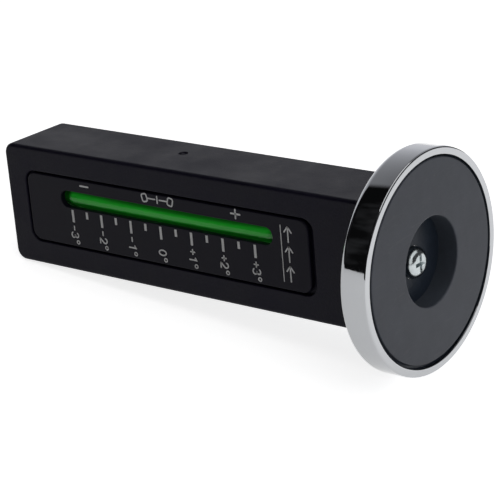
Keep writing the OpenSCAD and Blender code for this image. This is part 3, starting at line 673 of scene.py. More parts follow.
def housing_shape(sizes):
    """The housing as one run of outlines: the front pocket's floor, the outside, the back pocket's floor.

    Each outline is a round-cornered rectangle in X and Z. Along an edge of radius e they
    shrink by e (1 - sin t) while Y moves by e (1 - cos t). At a distance d from the middle of
    the gate's dimple the top is lower by depth * (radius - d) / wall, held between 0 and the
    depth, and the cut stub stands up from its floor in the same way.
    """
    low, high, edge = HOUSING_LOW, HOUSING_HIGH, sizes.edge
    ring = ring_maker(gate_fractions(low.x + sizes.corner, high.x - sizes.corner, GATE_PLACE[0], GATE_REACH),
                      (0.0, 2e-3, 0.5, 1 - 2e-3, 1.0))
    left, right, half, floor_y = CASTER_POCKET
    # Each form's size, corner radius and middle
    body = ((high.x - low.x, high.z - low.z), sizes.corner, ((low.x + high.x) / 2, 0.0))
    recess = ((RECESS_RIGHT - RECESS_LEFT, 2 * RECESS_HALF), sizes.plate_corner + RECESS_MARGIN, (SLOT_X, 0.0))
    pocket = ((CRADLE_HIGH.x - CRADLE_LOW.x + 2 * POCKET_GAP, CRADLE_HIGH.z - CRADLE_LOW.z + 2 * POCKET_GAP),
              HAIR, (SLOT_X, (CRADLE_LOW.z + CRADLE_HIGH.z) / 2))
    cover = ((COVER_HIGH.x - COVER_LOW.x + 2 * COVER_MARGIN, COVER_HIGH.z - COVER_LOW.z + 2 * COVER_MARGIN),
             sizes.cover_corner + COVER_MARGIN, ((COVER_LOW.x + COVER_HIGH.x) / 2, 0.0))
    inner = ((right - left, 2 * half), HAIR, ((left + right) / 2, 0.0))
    past = edge + HAIR * 0.3
    rings = np.array([
        ring(CRADLE_HIGH.y + POCKET_GAP, *pocket), ring(PLATE_HIGH.y, *pocket), ring(PLATE_HIGH.y, *recess),
        *(ring(FRONT_Y + sunk, *recess, spread) for sunk, spread in bend(RECESS_LIP)),
        ring(FRONT_Y, *recess, RECESS_LIP * 1.1), ring(FRONT_Y, *body, -past),
        *(ring(FRONT_Y + depth, *body, -inset) for inset, depth in bend(edge, 9)),
        ring(FRONT_Y + past, *body),
        *(ring(y, *body) for y in np.linspace(GATE_PLACE[1] - GATE_REACH, GATE_PLACE[1] + GATE_REACH, 25)),
        ring(BACK_Y - past, *body),
        *(ring(BACK_Y - depth, *body, -inset) for inset, depth in bend(edge, 9)[::-1]),
        ring(BACK_Y, *body, -past), ring(BACK_Y, *cover, HAIR), ring(BACK_Y - HAIR, *cover),
        ring(COVER_LOW.y, *cover), ring(COVER_LOW.y, *inner), ring(floor_y, *inner),
    ])
    away = np.hypot(rings[..., 0] - GATE_PLACE[0], rings[..., 1] - GATE_PLACE[1])
    sunk = (GATE_DEPTH * np.clip((GATE_RADIUS - away) / GATE_WALL, 0, 1)
            - GATE_STUB * np.clip((GATE_STUB_RADIUS - away) / GATE_WALL, 0, 1))
    rings[..., 2] -= np.where(rings[..., 2] > high.z - 1e-6, sunk, 0.0)
    return joined(rings)


def plate_shape(low, high, corner, edge, hole, hole_mid, out):
    """A plate with a long hole, as a closed run of outlines: back, side, face and hole.

    The plate lies between low and high, out is -1 where its face looks towards -Y and +1
    where it looks towards +Y. The face's outer edge is rounded to the radius edge, and the hole's a little.
    """
    face_y, back_y = (low.y, high.y) if out < 0 else (high.y, low.y)
    ring = ring_maker(np.linspace(0, 1, 9), np.linspace(0, 1, 4))
    plate = ((high.x - low.x, high.z - low.z), corner, ((low.x + high.x) / 2, (low.z + high.z) / 2))
    hole = (hole, hole[1] / 2 - 0.1 * MM, hole_mid)
    return joined([
        ring(back_y, *plate), *(ring(face_y - out * sunk, *plate, -inset) for sunk, inset in bend(edge)),
        ring(face_y, *plate, -1.1 * edge), ring(face_y, *hole, 1.3 * HOLE_EDGE),
        *(ring(face_y - out * sunk, *hole, spread) for sunk, spread in bend(HOLE_EDGE)[::-1]),
        ring(back_y, *hole),
    ], closed=True)


def bar_y(place, low_y, high_y, radius_low, radius_high=None):
    """A closed round or tapered bar along Y at (X, Z) = place."""
    profile = [(low_y, radius_low), (high_y, radius_low if radius_high is None else radius_high)]
    return turned(profile, (place[0], 0, place[1]), "Y", 48)


# ------------------------------------------------------------------ printed marks

# Each numeral's lines on a unit height, with True for a closed line
NUMERALS = {
    "0": [(arc(0.30, 0.5, 0.30, 0.5, 90, 450, 28), True)],
    "1": [(np.array([(0.10, 0.80), (0.34, 1.0), (0.34, 0.5), (0.34, 0.0)]), False)],
    "2": [(np.concatenate((arc(0.30, 0.70, 0.29, 0.30, 165, -38, 14), [(0.0, 0.0)])), False),
          (straight(0.0, 0.0, 0.6, 0.0), False)],
    "3": [(arc(0.28, 0.745, 0.27, 0.255, 150, -90, 16), False),
          (arc(0.28, 0.265, 0.31, 0.265, 90, -150, 18), False)],
    "4": [(straight(0.46, 0.0, 0.46, 1.0), False), (straight(0.46, 1.0, 0.0, 0.26), False),
          (straight(0.0, 0.26, 0.62, 0.26), False)],
    "-": [(straight(0.0, 0.5, 0.44, 0.5), False)],
    "+": [(straight(0.0, 0.5, 0.54, 0.5), False), (straight(0.27, 0.23, 0.27, 0.77), False)],
    "o": [(arc(0.0, 0.0, 0.20, 0.20, 0, 360, 16), True)],
}


def printed(key, place, right, up, size, width, thick):
    """Strips for a numeral or sign, turned so that right and up are unit (X, Z) directions."""
    turn = np.array([right, up], float) * size
    return [stroke(points @ turn + np.asarray(place), width, thick, closed) for points, closed in NUMERALS[key]]


def onto(strips, y, out):
    """Strips drawn in X and Z, laid on the plane y with their thickness along out (-1 or +1)."""
    points, faces = together(strips)
    return np.column_stack((points[:, 0], y + out * points[:, 2], points[:, 1])), faces


def ticks(steps, x, low, high, thick):
    """Square-ended upright bars in X and Z, long at the even steps and short at the odd ones."""
    made = []
    for step, middle in zip(steps, x):
        length = (high - low) * (SHORT_TICK if step % 2 else 1.0)
        left, right = middle - TICK_WIDTH / 2, middle + TICK_WIDTH / 2
        made.append(joined([[(left, z, 0.0), (right, z, 0.0), (right, z, thick), (left, z, thick)]
                            for z in (high, high - length)]))
    return made


def degree_label(degrees):
    """The signs and digits of a whole degree."""
    return {True: "+", False: "-"}[degrees > 0] + str(abs(degrees)) if degrees else "0"


# ------------------------------------------------------------------ operators


class GAUGE_OT_housing(bpy.types.Operator):
    """Builds the moulded housing with its recesses and the moulding gate's dimple"""

    bl_idname = "gauge.housing"
    bl_label = "Housing"

    def execute(self, context):
        make_piece("moulded_housing", housing_shape(context.scene.gauge_sizes), finishes()["moulding"],
                   "housing_body", ["housing"], "moulding")
        return {"FINISHED"}


class GAUGE_OT_face_plate(bpy.types.Operator):
    """Builds the camber side's face plate with the slot in front of its vial"""

    bl_idname = "gauge.face_plate"
    bl_label = "Face plate"

    def execute(self, context):
        sizes = context.scene.gauge_sizes
        shape = plate_shape(PLATE_LOW, PLATE_HIGH, sizes.plate_corner, sizes.plate_edge,
                            (sizes.slot_long, sizes.slot_high), (SLOT_X, SLOT_Z), -1)
        make_piece("face_plate", shape, finishes()["plate"], "housing_body", ["camber_plate"], "face_plate")
        return {"FINISHED"}


class GAUGE_OT_camber_marks(bpy.types.Operator):
    """Prints the camber scale: ticks, plain numerals, sign marks and the arrows that show which side is up"""

    bl_idname = "gauge.camber_marks"
    bl_label = "Camber marks"

    digit_high = 2.85 * MM
    digit_z = -7.6 * MM
    sign_z = -5.3 * MM
    ring_z = -9.9 * MM
    ring_rise = 1.05 * MM
    # The plain marks over the slot, in mm: their height, and each one's middle and sizes
    mark_z = 9.7
    minus_x, plus_x, sign_half, sign_rise = -122.3, -60.9, 1.7, 1.4
    tilt_x, wheel_off, axle_ends, post_half = -91.7, 5.2, (3.9, 0.9), 1.1
    wheel = (2.0, 2.5, 0.6)              # width, height and corner radius
    wheel_lean = math.radians(14)
    # The marks beside the slot, in mm: the thin line, and the arrows with their barbs
    line_x, line_ends = -44.2, (-8.9, 8.8)
    arrow_x, arrow_feet, arrow_long, barb = -41.6, (-8.6, -2.4, 3.8), 4.8, (1.3, 1.7)

    def execute(self, context):
        sizes = context.scene.gauge_sizes
        width, thick, tall = sizes.print_line, sizes.print_thick, self.digit_high
        halves = np.arange(-6, 7)
        strips = ticks(halves, SLOT_X + SCALE_OFF + halves * DEGREE_PITCH / 2,
                       CAMBER_TICKS_LOW.z, CAMBER_TICKS_HIGH.z, thick)
        sideways = ((0.0, -1.0), (1.0, 0.0), tall)
        for degrees in range(-3, 4):
            at = SLOT_X + SCALE_OFF + degrees * DEGREE_PITCH
            label = degree_label(degrees)
            foot = at - tall / 2
            wide = 0.6 if label[-1] != "1" else 0.45
            strips += printed(label[-1], (foot, self.digit_z + wide / 2 * tall), *sideways, width, thick)
            if degrees:
                strips += printed(label[0], (foot, self.sign_z + 0.27 * tall), *sideways, width, thick)
            strips += printed("o", (at + self.ring_rise, self.ring_z), *sideways, width * 0.8, thick)
        strips += self.signs(width * 1.2, thick) + self.tilt_mark(width, thick) + self.up_arrows(width, thick)
        make_piece("camber_marks", onto(strips, PLATE_LOW.y, -1), finishes()["ink"], "housing_body",
                   ["camber_scale"], "white_ink")
        return {"FINISHED"}

    def signs(self, width, thick):
        """A minus over the scale's left end and a plus over its right end."""
        z, half, rise = self.mark_z, self.sign_half, self.sign_rise
        return [stroke(straight(*line) * MM, width, thick) for line in (
            (self.minus_x - half, z, self.minus_x + half, z), (self.plus_x - half, z, self.plus_x + half, z),
            (self.plus_x, z - rise, self.plus_x, z + rise))]

    def tilt_mark(self, width, thick):
        """Two wheels seen from behind, leaning apart, on both sides of an upright axle line."""
        x, z, (outer, inner), made = self.tilt_x, self.mark_z, self.axle_ends, []
        wheel = outline(*np.array(self.wheel) * MM, corner_steps=4)
        for side in (-1, 1):
            lean = self.wheel_lean * side
            turn = np.array([(math.cos(lean), -math.sin(lean)), (math.sin(lean), math.cos(lean))])
            loop = wheel @ turn + np.array([x + side * self.wheel_off, z]) * MM
            made.append(stroke(np.concatenate((loop, loop[:1])), width, thick, True))
            made.append(stroke(straight(x + side * outer, z, x + side * inner, z) * MM, width, thick))
        made.append(stroke(straight(x, z - self.post_half, x, z + self.post_half) * MM, width, thick))
        return made

    def up_arrows(self, width, thick):
        """Three arrows towards the gauge's upper side, beside a thin line."""
        x, (low, high), (aside, down) = self.arrow_x, self.line_ends, self.barb
        made = [stroke(straight(self.line_x, low, self.line_x, high) * MM, width * 0.6, thick)]
        for foot in self.arrow_feet:
            tip = foot + self.arrow_long
            made.append(stroke(straight(x, foot, x, tip) * MM, width, thick))
            for side in (-1, 1):
                made.append(stroke(straight(x, tip, x + side * aside, tip - down) * MM, width, thick))
        return made


class GAUGE_OT_magnet(bpy.types.Operator):
    """Builds the magnet: chromed cup, ferrite ring, the resin in its gap, and the screw"""

    bl_idname = "gauge.magnet"
    bl_label = "Magnet"

    def execute(self, context):
        made = finishes()
        bore = context.scene.gauge_sizes.ring_bore / 2
        inner = CUP_HIGH.z - context.scene.gauge_sizes.cup_wall
        for name, shape, finish, node, slot in (
                ("chromed_cup", self.cup(inner), "chrome", "magnet_cup", "chromed_steel"),
                ("ferrite_ring", self.ring(bore), "ferrite", "magnet_ring", "ferrite"),
                ("ring_resin", self.resin(inner), "glue", "magnet_glue", "glue"),
                ("magnet_screw_head", self.screw(), "zinc", "magnet_screw", "zinc_steel")):
            make_piece(name, shape, made[finish], "housing_body", [node], slot)
        return {"FINISHED"}

    @staticmethod
    def cup(inner):
        """The cup: a round back edge, a chamfer outside its rim, a smaller one inside, and its floor."""
        low, high, radius = CUP_LOW.x, CUP_HIGH.x, CUP_HIGH.z
        back = bend(CUP_BACK_ROUND, 10)
        outside = np.column_stack((low + back[:, 1], radius - back[:, 0]))
        rim = [(high - CHAMFER - STEP, radius), (high - CHAMFER, radius),
               (high - CHAMFER * 0.3, radius - CHAMFER * 0.3), (high, radius - CHAMFER),
               (high, radius - CHAMFER - STEP), (high, inner + CUP_LIP + STEP), (high, inner + CUP_LIP),
               (high - CUP_LIP * 0.3, inner + CUP_LIP * 0.3), (high - CUP_LIP, inner),
               (high - CUP_LIP - STEP, inner), (CUP_FLOOR + 0.3 * MM, inner), (CUP_FLOOR, inner - 0.3 * MM),
               (CUP_FLOOR, CUP_HOLE), (low, CUP_HOLE)]
        profile = np.concatenate(([(low, radius - CUP_BACK_ROUND - 0.1 * MM)], outside, rim))
        return turned(profile, (0, 0, 0), "X", 192, closed=True)

    @staticmethod
    def ring(bore):
        """The ferrite ring, glued a little off the cup's centre, with small broken edges."""
        middle = (RING_LOW + RING_HIGH) / 2
        outer, edge, face, back = (RING_HIGH.z - RING_LOW.z) / 2, RING_EDGE, RING_HIGH.x, RING_LOW.x
        profile = [(back, bore), (back, outer), (face - edge - STEP, outer), (face - edge, outer),
                   (face - edge * 0.3, outer - edge * 0.3), (face, outer - edge), (face, outer - edge - 0.1 * MM),
                   (face, bore + edge * 1.6 + 0.1 * MM), (face, bore + edge * 1.6),
                   (face - edge * 0.4, bore + edge * 0.5), (face - edge * 1.4, bore), (face - edge * 1.5, bore)]
        return turned(profile, (0, middle.y, middle.z), "X", 192, closed=True)

    @staticmethod
    def resin(inner):
        """The resin round the ring and under it, with a dished surface in the gap."""
        ring_out, top = (RING_HIGH.z - RING_LOW.z) / 2, RESIN_TOP
        screw, ring = (SCREW_LOW + SCREW_HIGH) / 2, (RING_LOW + RING_HIGH) / 2
        profile = [(CUP_FLOOR, RESIN_HOLE), (RING_LOW.x, RESIN_HOLE), (RING_LOW.x, ring_out - 0.2 * MM),
                   (top - 0.1 * MM, ring_out - 0.2 * MM), (top, ring_out + 0.02 * MM),
                   (top - 0.2 * MM, ring_out + 0.25 * MM), (top - 0.1 * MM, inner - 0.25 * MM),
                   (top + 0.15 * MM, inner), (CUP_FLOOR, inner)]
        drift = [(screw.y, screw.z)] * 2 + [(ring.y, ring.z)] * 4 + [(0.0, 0.0)] * 3
        return turned(profile, (0, 0, 0), "X", 128, closed=True, drift=drift)

    @staticmethod
    def screw():
        """The pan-headed screw: a crowned head, a cross cut into it, and its shank.

        The cross's outline at the angle a, folded into one eighth turn, is the smaller of
        reach / cos a and half width / sin a.
        """
        head, tall, reach, half_wide = 4.75 * MM, 3.3 * MM, 2.45 * MM, 0.55 * MM
        shank, shank_tip, shank_long, tip_long = 2.5 * MM, 2.0 * MM, 16 * MM, 0.5 * MM
        recess, point = 1.5 * MM, 2.1 * MM   # depth of the cross's arms and of its middle
        angle = np.linspace(0, 2 * math.pi, 160, endpoint=False)
        folded = np.abs((angle + math.pi / 4) % QUARTER - math.pi / 4)
        cross = np.minimum(reach / np.cos(folded), half_wide / np.maximum(np.sin(folded), 1e-6))
        # Shares of the head's radius and height
        crown = [(1.0, 0.30), (0.995, 0.42), (0.95, 0.60), (0.86, 0.76), (0.74, 0.88), (0.62, 0.955),
                 (0.56, 0.975)]
        middle, top = (SCREW_LOW + SCREW_HIGH) / 2, CUP_FLOOR + tall * 0.985
        return joined([
            np.column_stack((np.full_like(angle, x), middle.y + radius * np.cos(angle),
                             middle.z + radius * np.sin(angle)))
            for x, radius in (
                (CUP_FLOOR - shank_long, shank_tip), (CUP_FLOOR - shank_long + tip_long, shank),
                (CUP_FLOOR, shank), (CUP_FLOOR, head * 0.98), (CUP_FLOOR + 0.1 * MM, head),
                *((CUP_FLOOR + tall * high, head * wide) for wide, high in crown),
                (top, cross * 1.04), (top - 0.08 * MM, cross), (top - recess, cross * 0.62),
                (top - point, np.minimum(cross * 0.3, half_wide)))])


def vial_pieces(prefix, tube_low, tube_high, bore, pitch, bubble_long, bodies, made):
    """A vial's glass, fluid, plugs and bubble.

    The bore's radius at a distance s from the middle is sqrt(R^2 - s^2) - R + bore / 2, with
    R = pitch per degree, so the bubble moves by the pitch for each degree. The fluid wets the
    bore, so it reaches a hair into the glass and no air shows between them. The bubble is a
    bar with round ends, laid along the top of the bore.
    """
    centre = (tube_low + tube_high) / 2
    half, outer = (tube_high.x - tube_low.x) / 2, (tube_high.z - tube_low.z) / 2
    plug_long, plug_r, flange, ground = 3.5 * MM, 0.58 * outer, 0.9 * MM, pitch * 180 / math.pi
    inside, wetted, broken = 0.05 * MM, 0.03 * MM, 0.2 * MM
    space = half - plug_long
    s = np.linspace(-space, space, 41)
    curve = np.sqrt(ground**2 - s**2) - ground + bore / 2

    tube = np.concatenate((
        [(-half, outer - broken), (-half + broken, outer), (half - broken, outer), (half, outer - broken),
         (half, plug_r), (space, plug_r)], np.column_stack((s, curve))[::-1], [(-space, plug_r), (-half, plug_r)]))
    make_piece(prefix + "_vial", turned(tube, centre, "X", 96, closed=True), made["acrylic"], bodies[0],
               [prefix + "_tube"], "clear_acrylic")

    fluid = np.concatenate(([(-space + inside, 0.0)], np.column_stack((s * (1 - inside / space), curve + wetted)),
                            [(space - inside, 0.0)]))
    make_piece(prefix + "_vial_fluid", turned(fluid, centre, "X", 96), made[prefix + "_fluid"], bodies[0],
               [prefix + "_fluid"], "green_fluid")

    plug = np.array([(space + inside, 0.0), (space + inside, plug_r - inside), (half + inside, plug_r - inside),
                     (half + inside, outer - 0.1 * MM), (half + flange - broken, outer - 0.1 * MM),
                     (half + flange, outer - 0.4 * MM), (half + flange, 0.0)])
    ends = [turned(plug * (side, 1), centre, "X", 64) for side in (-1, 1)]
    make_piece(prefix + "_vial_plugs", together(ends), made["plug"], bodies[0], [prefix + "_tube_plugs"],
               "green_plastic")

    low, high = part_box(prefix + "_bubble")
    middle, radius = (low + high) / 2, (high.y - low.y) / 2
    t = np.linspace(-QUARTER, QUARTER, 33)
    profile = np.column_stack((radius * np.sin(t) + np.sign(t) * (bubble_long / 2 - radius), radius * np.cos(t)))
    points, faces = turned(profile, (0, 0, 0), "X", 48)
    lean = (middle.x - centre.x) / ground
    x, y, z = points.T
    points = np.column_stack((x * math.cos(lean) + z * math.sin(lean), y, z * math.cos(lean) - x * math.sin(lean)))
    make_piece(prefix + "_vial_bubble", (points + middle, faces), made["bubble"], bodies[1],
               [prefix + "_bubble"], "air")


class GAUGE_OT_vials(bpy.types.Operator):
    """Builds the camber vial and the caster vial with their fluid, plugs and bubbles"""

    bl_idname = "gauge.vials"
    bl_label = "Vials"

    def execute(self, context):
        made = finishes()
        vial_pieces("camber", CAMBER_TUBE_LOW, CAMBER_TUBE_HIGH, 5.6 * MM, DEGREE_PITCH, 9.6 * MM,
                    ("housing_body", "camber_bubble_body"), made)
        vial_pieces("caster", CASTER_TUBE_LOW, CASTER_TUBE_HIGH, 5.2 * MM, CASTER_PITCH, 8.0 * MM,
                    ("carrier_body", "caster_bubble_body"), made)
        return {"FINISHED"}


class GAUGE_OT_back_cover(bpy.types.Operator):
    """Builds the caster side's cover with its window, the knob's hole and the countersinks"""

    bl_idname = "gauge.back_cover"
    bl_label = "Back cover"

    knob_hole = 3.5 * MM
    screw_hole = 1.3 * MM
    screw_head = 2.5 * MM
    sink_depth = 1.375 * MM
    sink_bottom, sink_top = 1.175 * MM, 2.6 * MM

    def execute(self, context):
        sizes = context.scene.gauge_sizes
        shape = plate_shape(COVER_LOW, COVER_HIGH, sizes.cover_corner, sizes.plate_edge,
                            (sizes.window_long, sizes.window_high), (WINDOW_X, 0.0), 1)
        piece = make_piece("back_cover", shape, finishes()["plate"], "housing_body", ["caster_cover"],
                           "face_plate")
        below, above, top = COVER_LOW.y - 1 * MM, COVER_HIGH.y + 1 * MM, COVER_HIGH.y
        low, high, head = COVER_SCREWS_LOW, COVER_SCREWS_HIGH, self.screw_head
        cutters = [bar_y((KNOB_X, 0.0), below, above, self.knob_hole)]
        for x in (low.x + head, high.x - head):
            for z in (low.z + head, high.z - head):
                cutters.append(bar_y((x, z), below, above, self.screw_hole))
                cutters.append(bar_y((x, z), top - self.sink_depth, top + STEP, self.sink_bottom, self.sink_top))
        cut_from(piece, cutters)
        return {"FINISHED"}


class GAUGE_OT_caster_marks(bpy.types.Operator):
    """Prints the caster scale: ticks and plain numerals, upright, below the window"""

    bl_idname = "gauge.caster_marks"
    bl_label = "Caster marks"

    digit_high = 2.5 * MM
    digit_gap = 1.2 * MM

    def execute(self, context):
        sizes = context.scene.gauge_sizes
        width, thick, tall = sizes.print_line * 0.9, sizes.print_thick, self.digit_high
        steps = np.arange(-4, 5)
        middle = (CASTER_TICKS_LOW.x + CASTER_TICKS_HIGH.x) / 2
        strips = ticks(steps, middle + steps * CASTER_PITCH, CASTER_TICKS_LOW.z, CASTER_TICKS_HIGH.z, thick)
        right, up = (-1.0, 0.0), (0.0, 1.0)
        foot = CASTER_TICKS_LOW.z - self.digit_gap - tall
        for degrees in (-4, -2, 0, 2, 4):
            at = middle - degrees * CASTER_PITCH
            label = degree_label(degrees)
            strips += printed(label[-1], (at + 0.3 * tall, foot), right, up, tall, width, thick)
            if degrees:
                strips += printed(label[0], (at + 1.05 * tall, foot), right, up, tall, width, thick)
            strips += printed("o", (at - 0.75 * tall, foot + 0.85 * tall), right, up, tall * 0.8, width * 0.8,
                              thick)
        make_piece("caster_marks", onto(strips, COVER_HIGH.y, 1), finishes()["ink"], "housing_body",
                   ["caster_scale"], "white_ink")
        return {"FINISHED"}


class GAUGE_OT_adjuster(bpy.types.Operator):
    """Builds the knob with its flutes and pointer line, and the bush and washer under it"""

    bl_idname = "gauge.adjuster"
    bl_label = "Adjuster"

    shaft_gap = 2.05 * MM                # radius of the bush's bore
    knob_bore = 2.15 * MM
    washer_bore = 2.3 * MM
    bush_body = 3.47 * MM
    flute_deep = 0.035                   # half a flute's depth, as a share of the radius
    broken = 0.1 * MM

    def execute(self, context):
        flutes, made = context.scene.gauge_sizes.knob_flutes, finishes()
        place = (KNOB_X, 0.0, (KNOB_LOW.z + KNOB_HIGH.z) / 2)
        low, high, face_y = KNOB_LOW.y, KNOB_HIGH.y, KNOB_HIGH.y - 0.5 * MM
        radius, skirt, crown = (KNOB_HIGH.x - KNOB_LOW.x) / 2, low + 1.2 * MM, high - 0.6 * MM

        def wave(angle, y):
            """1 at the skirt and the face, and 1 - flute_deep (1 + cos(flutes a)) along the grip."""
            grip = np.clip((y - skirt) / (0.5 * MM), 0, 1) * np.clip((crown - y) / (0.5 * MM), 0, 1)
            return 1 - self.flute_deep * grip * (1 + np.cos(flutes * angle))

        knob = [(low, self.knob_bore), (low, radius - 0.3 * MM), (low + 0.3 * MM, radius),
                *((y, radius) for y in np.linspace(skirt, crown, 12)),
                (high - 0.35 * MM, radius - 0.1 * MM), (high - 0.1 * MM, radius - 0.35 * MM),
                (high, radius - 0.8 * MM), (high, radius - 1.6 * MM), (high - 0.15 * MM, radius - 1.9 * MM),
                (face_y, radius - 2.3 * MM), (face_y, 0.0), (high - 0.9 * MM, 0.0),
                (high - 0.9 * MM, self.knob_bore)]
        make_piece("tilt_knob", turned(knob, place, "Y", flutes * 16, closed=True, wave=wave), made["knob"],
                   "adjuster_body", ["adjuster_knob"], "knob")
        pointer = stroke(straight(place[0], 2.2 * MM, place[0], 5.0 * MM), 0.8 * MM, 0.06 * MM)
        make_piece("knob_pointer", onto([pointer], face_y, 1), made["ink"], "adjuster_body", [], "white_ink")

        flange, broken = (BUSH_HIGH.x - BUSH_LOW.x) / 2, self.broken
        bush = [(BUSH_LOW.y, self.shaft_gap), (BUSH_LOW.y, self.bush_body), (BACK_Y, self.bush_body),
                (BACK_Y, flange - broken), (BACK_Y + broken, flange), (BUSH_HIGH.y - broken, flange),
                (BUSH_HIGH.y, flange - broken), (BUSH_HIGH.y, self.shaft_gap)]
        make_piece("shaft_bush", turned(bush, place, "Y", 64, closed=True), made["brass"], "housing_body",
                   ["adjuster_bush"], "brass")
        rim = (WASHER_HIGH.x - WASHER_LOW.x) / 2
        washer = [(WASHER_LOW.y, self.washer_bore), (WASHER_LOW.y, rim), (WASHER_HIGH.y, rim),
                  (WASHER_HIGH.y, self.washer_bore)]
        make_piece("spring_washer", turned(washer, place, "Y", 64, closed=True), made["steel"], "housing_body",
                   ["friction_washer"], "bright_steel")
        return {"FINISHED"}


class GAUGE_OT_frame_finishes(bpy.types.Operator):
    """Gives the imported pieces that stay, such as the cradle, carrier and screws, their finishes"""

    bl_idname = "gauge.frame_finishes"
    bl_label = "Finishes of the packed pieces"

    kept = {
        "camber_cradle": "white", "camber_vial_beds": "putty", "caster_carrier": "white",
        "threaded_insert": "brass", "pivot_pin": "steel", "pivot_clip": "black_steel",
        "adjuster_shaft": "steel", "caster_cover_screws": "black_steel", "knob_set_screw": "black_steel",
    }

    def execute(self, context):
        made = finishes()
        for node, finish in self.kept.items():
            mesh = frame["nodes"][node].data
            mesh.materials.clear()
            mesh.materials.append(made[finish])
        return {"FINISHED"}


class GAUGE_OT_stage(bpy.types.Operator):
    """Sets the studio: a pale floor under the resting gauge, softboxes, the world and the camera"""

    bl_idname = "gauge.stage"
    bl_label = "Studio"

    floor_half = 1.3
    lean = math.atan2(CUP_HIGH.z - HOUSING_HIGH.z, CUP_LOW.x + CUP_REST - HOUSING_LOW.x)
    upright = (math.sin(lean), 0.0, math.cos(lean))
    behind = (0.56, 0.83, 0.0)           # level, away from the camera
    background = 0.8                     # the floor's own brightness to the camera
    # Each lamp's name, place, size and watts
    softboxes = (("top_softbox", (0.65, 0.1, 1.45), 2.0, 12.5), ("side_softbox", (1.35, -0.95, 0.6), 1.3, 5.0))
    aim = Vector((-0.06, 0.0, 0.0))

    def execute(self, context):
        scene = context.scene
        self.floor(scene)
        self.world(scene)
        self.lamps(scene)
        self.camera(scene)
        scene.view_settings.view_transform = "Standard"
        return {"FINISHED"}

    def floor(self, scene):
        """A wide floor that touches the magnet's rim and the housing's free end."""
        up = Vector(self.upright)
        across = Vector((up.z, 0, -up.x)) * self.floor_half
        side = Vector((0, 1, 0)) * self.floor_half
        touch = Vector((HOUSING_LOW.x, 0, HOUSING_LOW.z)) - up * 0.05 * MM
        corners = [touch + across * a + side * b for a, b in ((-1, -1), (1, -1), (1, 1), (-1, 1))]
        mesh = bpy.data.meshes.new("studio_floor")
        mesh.from_pydata([tuple(c) for c in corners], [], [(0, 1, 2, 3)])

        material, tree, shader, place = new_material("Studio floor")
        tone = ramp(tree, grain_node(tree, place, 3.0).outputs["Patches"], 0.3, 0.7, 0.99, 1.0)
        feed(tree, shader, {"Base Color": scaled(tree, scene.gauge_finishes.floor, tone), "Roughness": 0.9,
                            "Specular IOR Level": 0.1})
        path = add_node(tree, "ShaderNodeLightPath").outputs
        far = ramp(tree, projected(tree, place, self.behind), -0.1, 0.08, 0.68, 1.0, True)
        mirrored = math_node(tree, "MULTIPLY", path["Is Glossy Ray"], far)
        seen = math_node(tree, "MAXIMUM", path["Is Camera Ray"], path["Is Transmission Ray"])
        shown = math_node(tree, "MULTIPLY", math_node(tree, "MAXIMUM", seen, mirrored), self.background)
        glow = add_node(tree, "ShaderNodeEmission", {"Color": (1, 1, 1, 1), "Strength": shown})
        both = add_node(tree, "ShaderNodeAddShader", {0: shader.outputs[0], 1: glow.outputs[0]})
        feed(tree, tree.nodes["Material Output"], {"Surface": both.outputs[0]})
        mesh.materials.append(material)
        floor = bpy.data.objects.new("studio_floor", mesh)
        scene.collection.objects.link(floor)

    def world(self, scene):
        """A white room to the camera. To reflections it is grey behind the gauge, dark above the floor on the
        camera's side, and pale under the horizon, which leans with the floor."""
        scene.world = bpy.data.worlds.new("Studio")
        scene.world.use_nodes = True
        tree = scene.world.node_tree
        tree.nodes.clear()
        place = add_node(tree, "ShaderNodeTexCoord").outputs["Generated"]
        parts = add_node(tree, "ShaderNodeSeparateXYZ", {0: place}).outputs
        rise = projected(tree, place, self.upright)
        cloud = add_node(tree, "ShaderNodeTexNoise", {"Vector": place, "Scale": 5.0, "Detail": 3.0})
        front = ramp(tree, cloud.outputs["Fac"], 0.5, 0.8, 0.006, 0.05)
        back = math_node(tree, "MULTIPLY", ramp(tree, parts["Y"], -0.01, 0.09, 0.0, 1.0, True),
                         ramp(tree, parts["X"], -0.1, 0.2, 1.0, 0.1, True))
        room = math_node(tree, "MULTIPLY", back, ramp(tree, rise, 0.2, 0.9, 0.84, 0.14))
        whole = math_node(tree, "MAXIMUM", math_node(tree, "MAXIMUM", room, front),
                          ramp(tree, rise, -0.12, -0.1, 0.8, 0.0))
        lit = add_node(tree, "ShaderNodeBackground", {"Color": (0.94, 0.95, 1.0, 1), "Strength": whole})
        white = add_node(tree, "ShaderNodeBackground", {"Color": (1, 1, 1, 1), "Strength": 1.0})
        path = add_node(tree, "ShaderNodeLightPath").outputs
        mix = add_node(tree, "ShaderNodeMixShader", {
            0: path["Is Camera Ray"], 1: lit.outputs[0], 2: white.outputs[0]})
        add_node(tree, "ShaderNodeOutputWorld", {"Surface": mix.outputs[0]})

    def lamps(self, scene):
        """Soft lamps, aimed at the middle of the gauge."""
        for name, place, size, watts in self.softboxes:
            lamp = bpy.data.lights.new(name, "AREA")
            lamp.shape, lamp.size, lamp.energy = "SQUARE", size, watts
            made = bpy.data.objects.new(name, lamp)
            made.location = place
            made.rotation_mode = "QUATERNION"
            made.rotation_quaternion = (self.aim - Vector(place)).to_track_quat("-Z", "Y")
            scene.collection.objects.link(made)

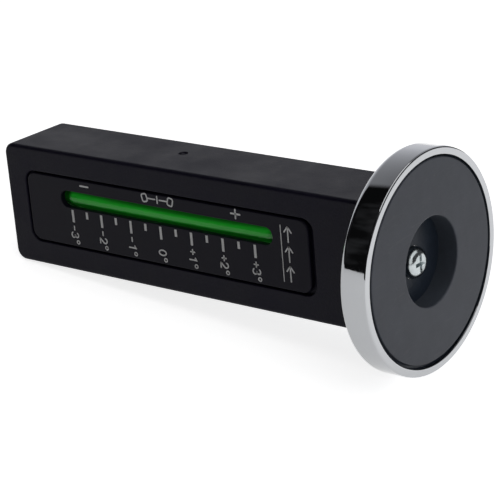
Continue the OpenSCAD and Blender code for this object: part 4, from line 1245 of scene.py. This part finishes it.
    @staticmethod
    def camera(scene):
        """The camera at the photograph's place. Its axes are right, up and back, turned by the roll."""
        a, e, r = CAMERA_AZIMUTH, CAMERA_ELEVATION, CAMERA_ROLL
        back = Vector((math.sin(a) * math.cos(e), -math.cos(a) * math.cos(e), math.sin(e)))
        right = Vector((math.cos(a), math.sin(a), 0))
        up = back.cross(right)
        x = right * math.cos(r) - up * math.sin(r)
        y = right * math.sin(r) + up * math.cos(r)
        data = bpy.data.cameras.new("photo_camera")
        data.sensor_width, data.lens = SENSOR, FOCAL_PIXELS * SENSOR / IMAGE_SIZE
        data.clip_start, data.clip_end = 0.01, 50
        camera = bpy.data.objects.new("photo_camera", data)
        camera.matrix_world = Matrix.Translation(CAMERA_PLACE) @ Matrix((x, y, back)).transposed().to_4x4()
        scene.collection.objects.link(camera)
        scene.camera = camera


class GAUGE_PT_panel(bpy.types.Panel):
    """Lists the gauge's pieces, sizes and finishes in the sidebar"""

    bl_idname = "GAUGE_PT_panel"
    bl_label = "Camber and caster gauge"
    bl_space_type = "VIEW_3D"
    bl_region_type = "UI"
    bl_category = "Gauge"

    def draw(self, context):
        column = self.layout.column(align=True)
        for operator in OPERATORS:
            column.operator(operator.bl_idname)
        for group in (context.scene.gauge_sizes, context.scene.gauge_finishes):
            box = self.layout.box()
            for name in group.__annotations__:
                box.prop(group, name)


OPERATORS = (
    GAUGE_OT_housing, GAUGE_OT_face_plate, GAUGE_OT_camber_marks, GAUGE_OT_magnet, GAUGE_OT_vials,
    GAUGE_OT_back_cover, GAUGE_OT_caster_marks, GAUGE_OT_adjuster, GAUGE_OT_frame_finishes, GAUGE_OT_stage)
CLASSES = (GaugeSizes, GaugeFinishes, *OPERATORS, GAUGE_PT_panel)


def register():
    for cls in CLASSES:
        bpy.utils.register_class(cls)
    bpy.types.Scene.gauge_sizes = PointerProperty(type=GaugeSizes)
    bpy.types.Scene.gauge_finishes = PointerProperty(type=GaugeFinishes)


def unregister():
    del bpy.types.Scene.gauge_finishes
    del bpy.types.Scene.gauge_sizes
    for cls in reversed(CLASSES):
        bpy.utils.unregister_class(cls)


def main():
    """Registers the add-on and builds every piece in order."""
    register()
    bpy.ops.gauge.housing()
    bpy.ops.gauge.face_plate()
    bpy.ops.gauge.camber_marks()
    bpy.ops.gauge.magnet()
    bpy.ops.gauge.vials()
    bpy.ops.gauge.back_cover()
    bpy.ops.gauge.caster_marks()
    bpy.ops.gauge.adjuster()
    bpy.ops.gauge.frame_finishes()
    bpy.ops.gauge.stage()
    bpy.context.view_layer.update()


if __name__ == "__main__":
    main()
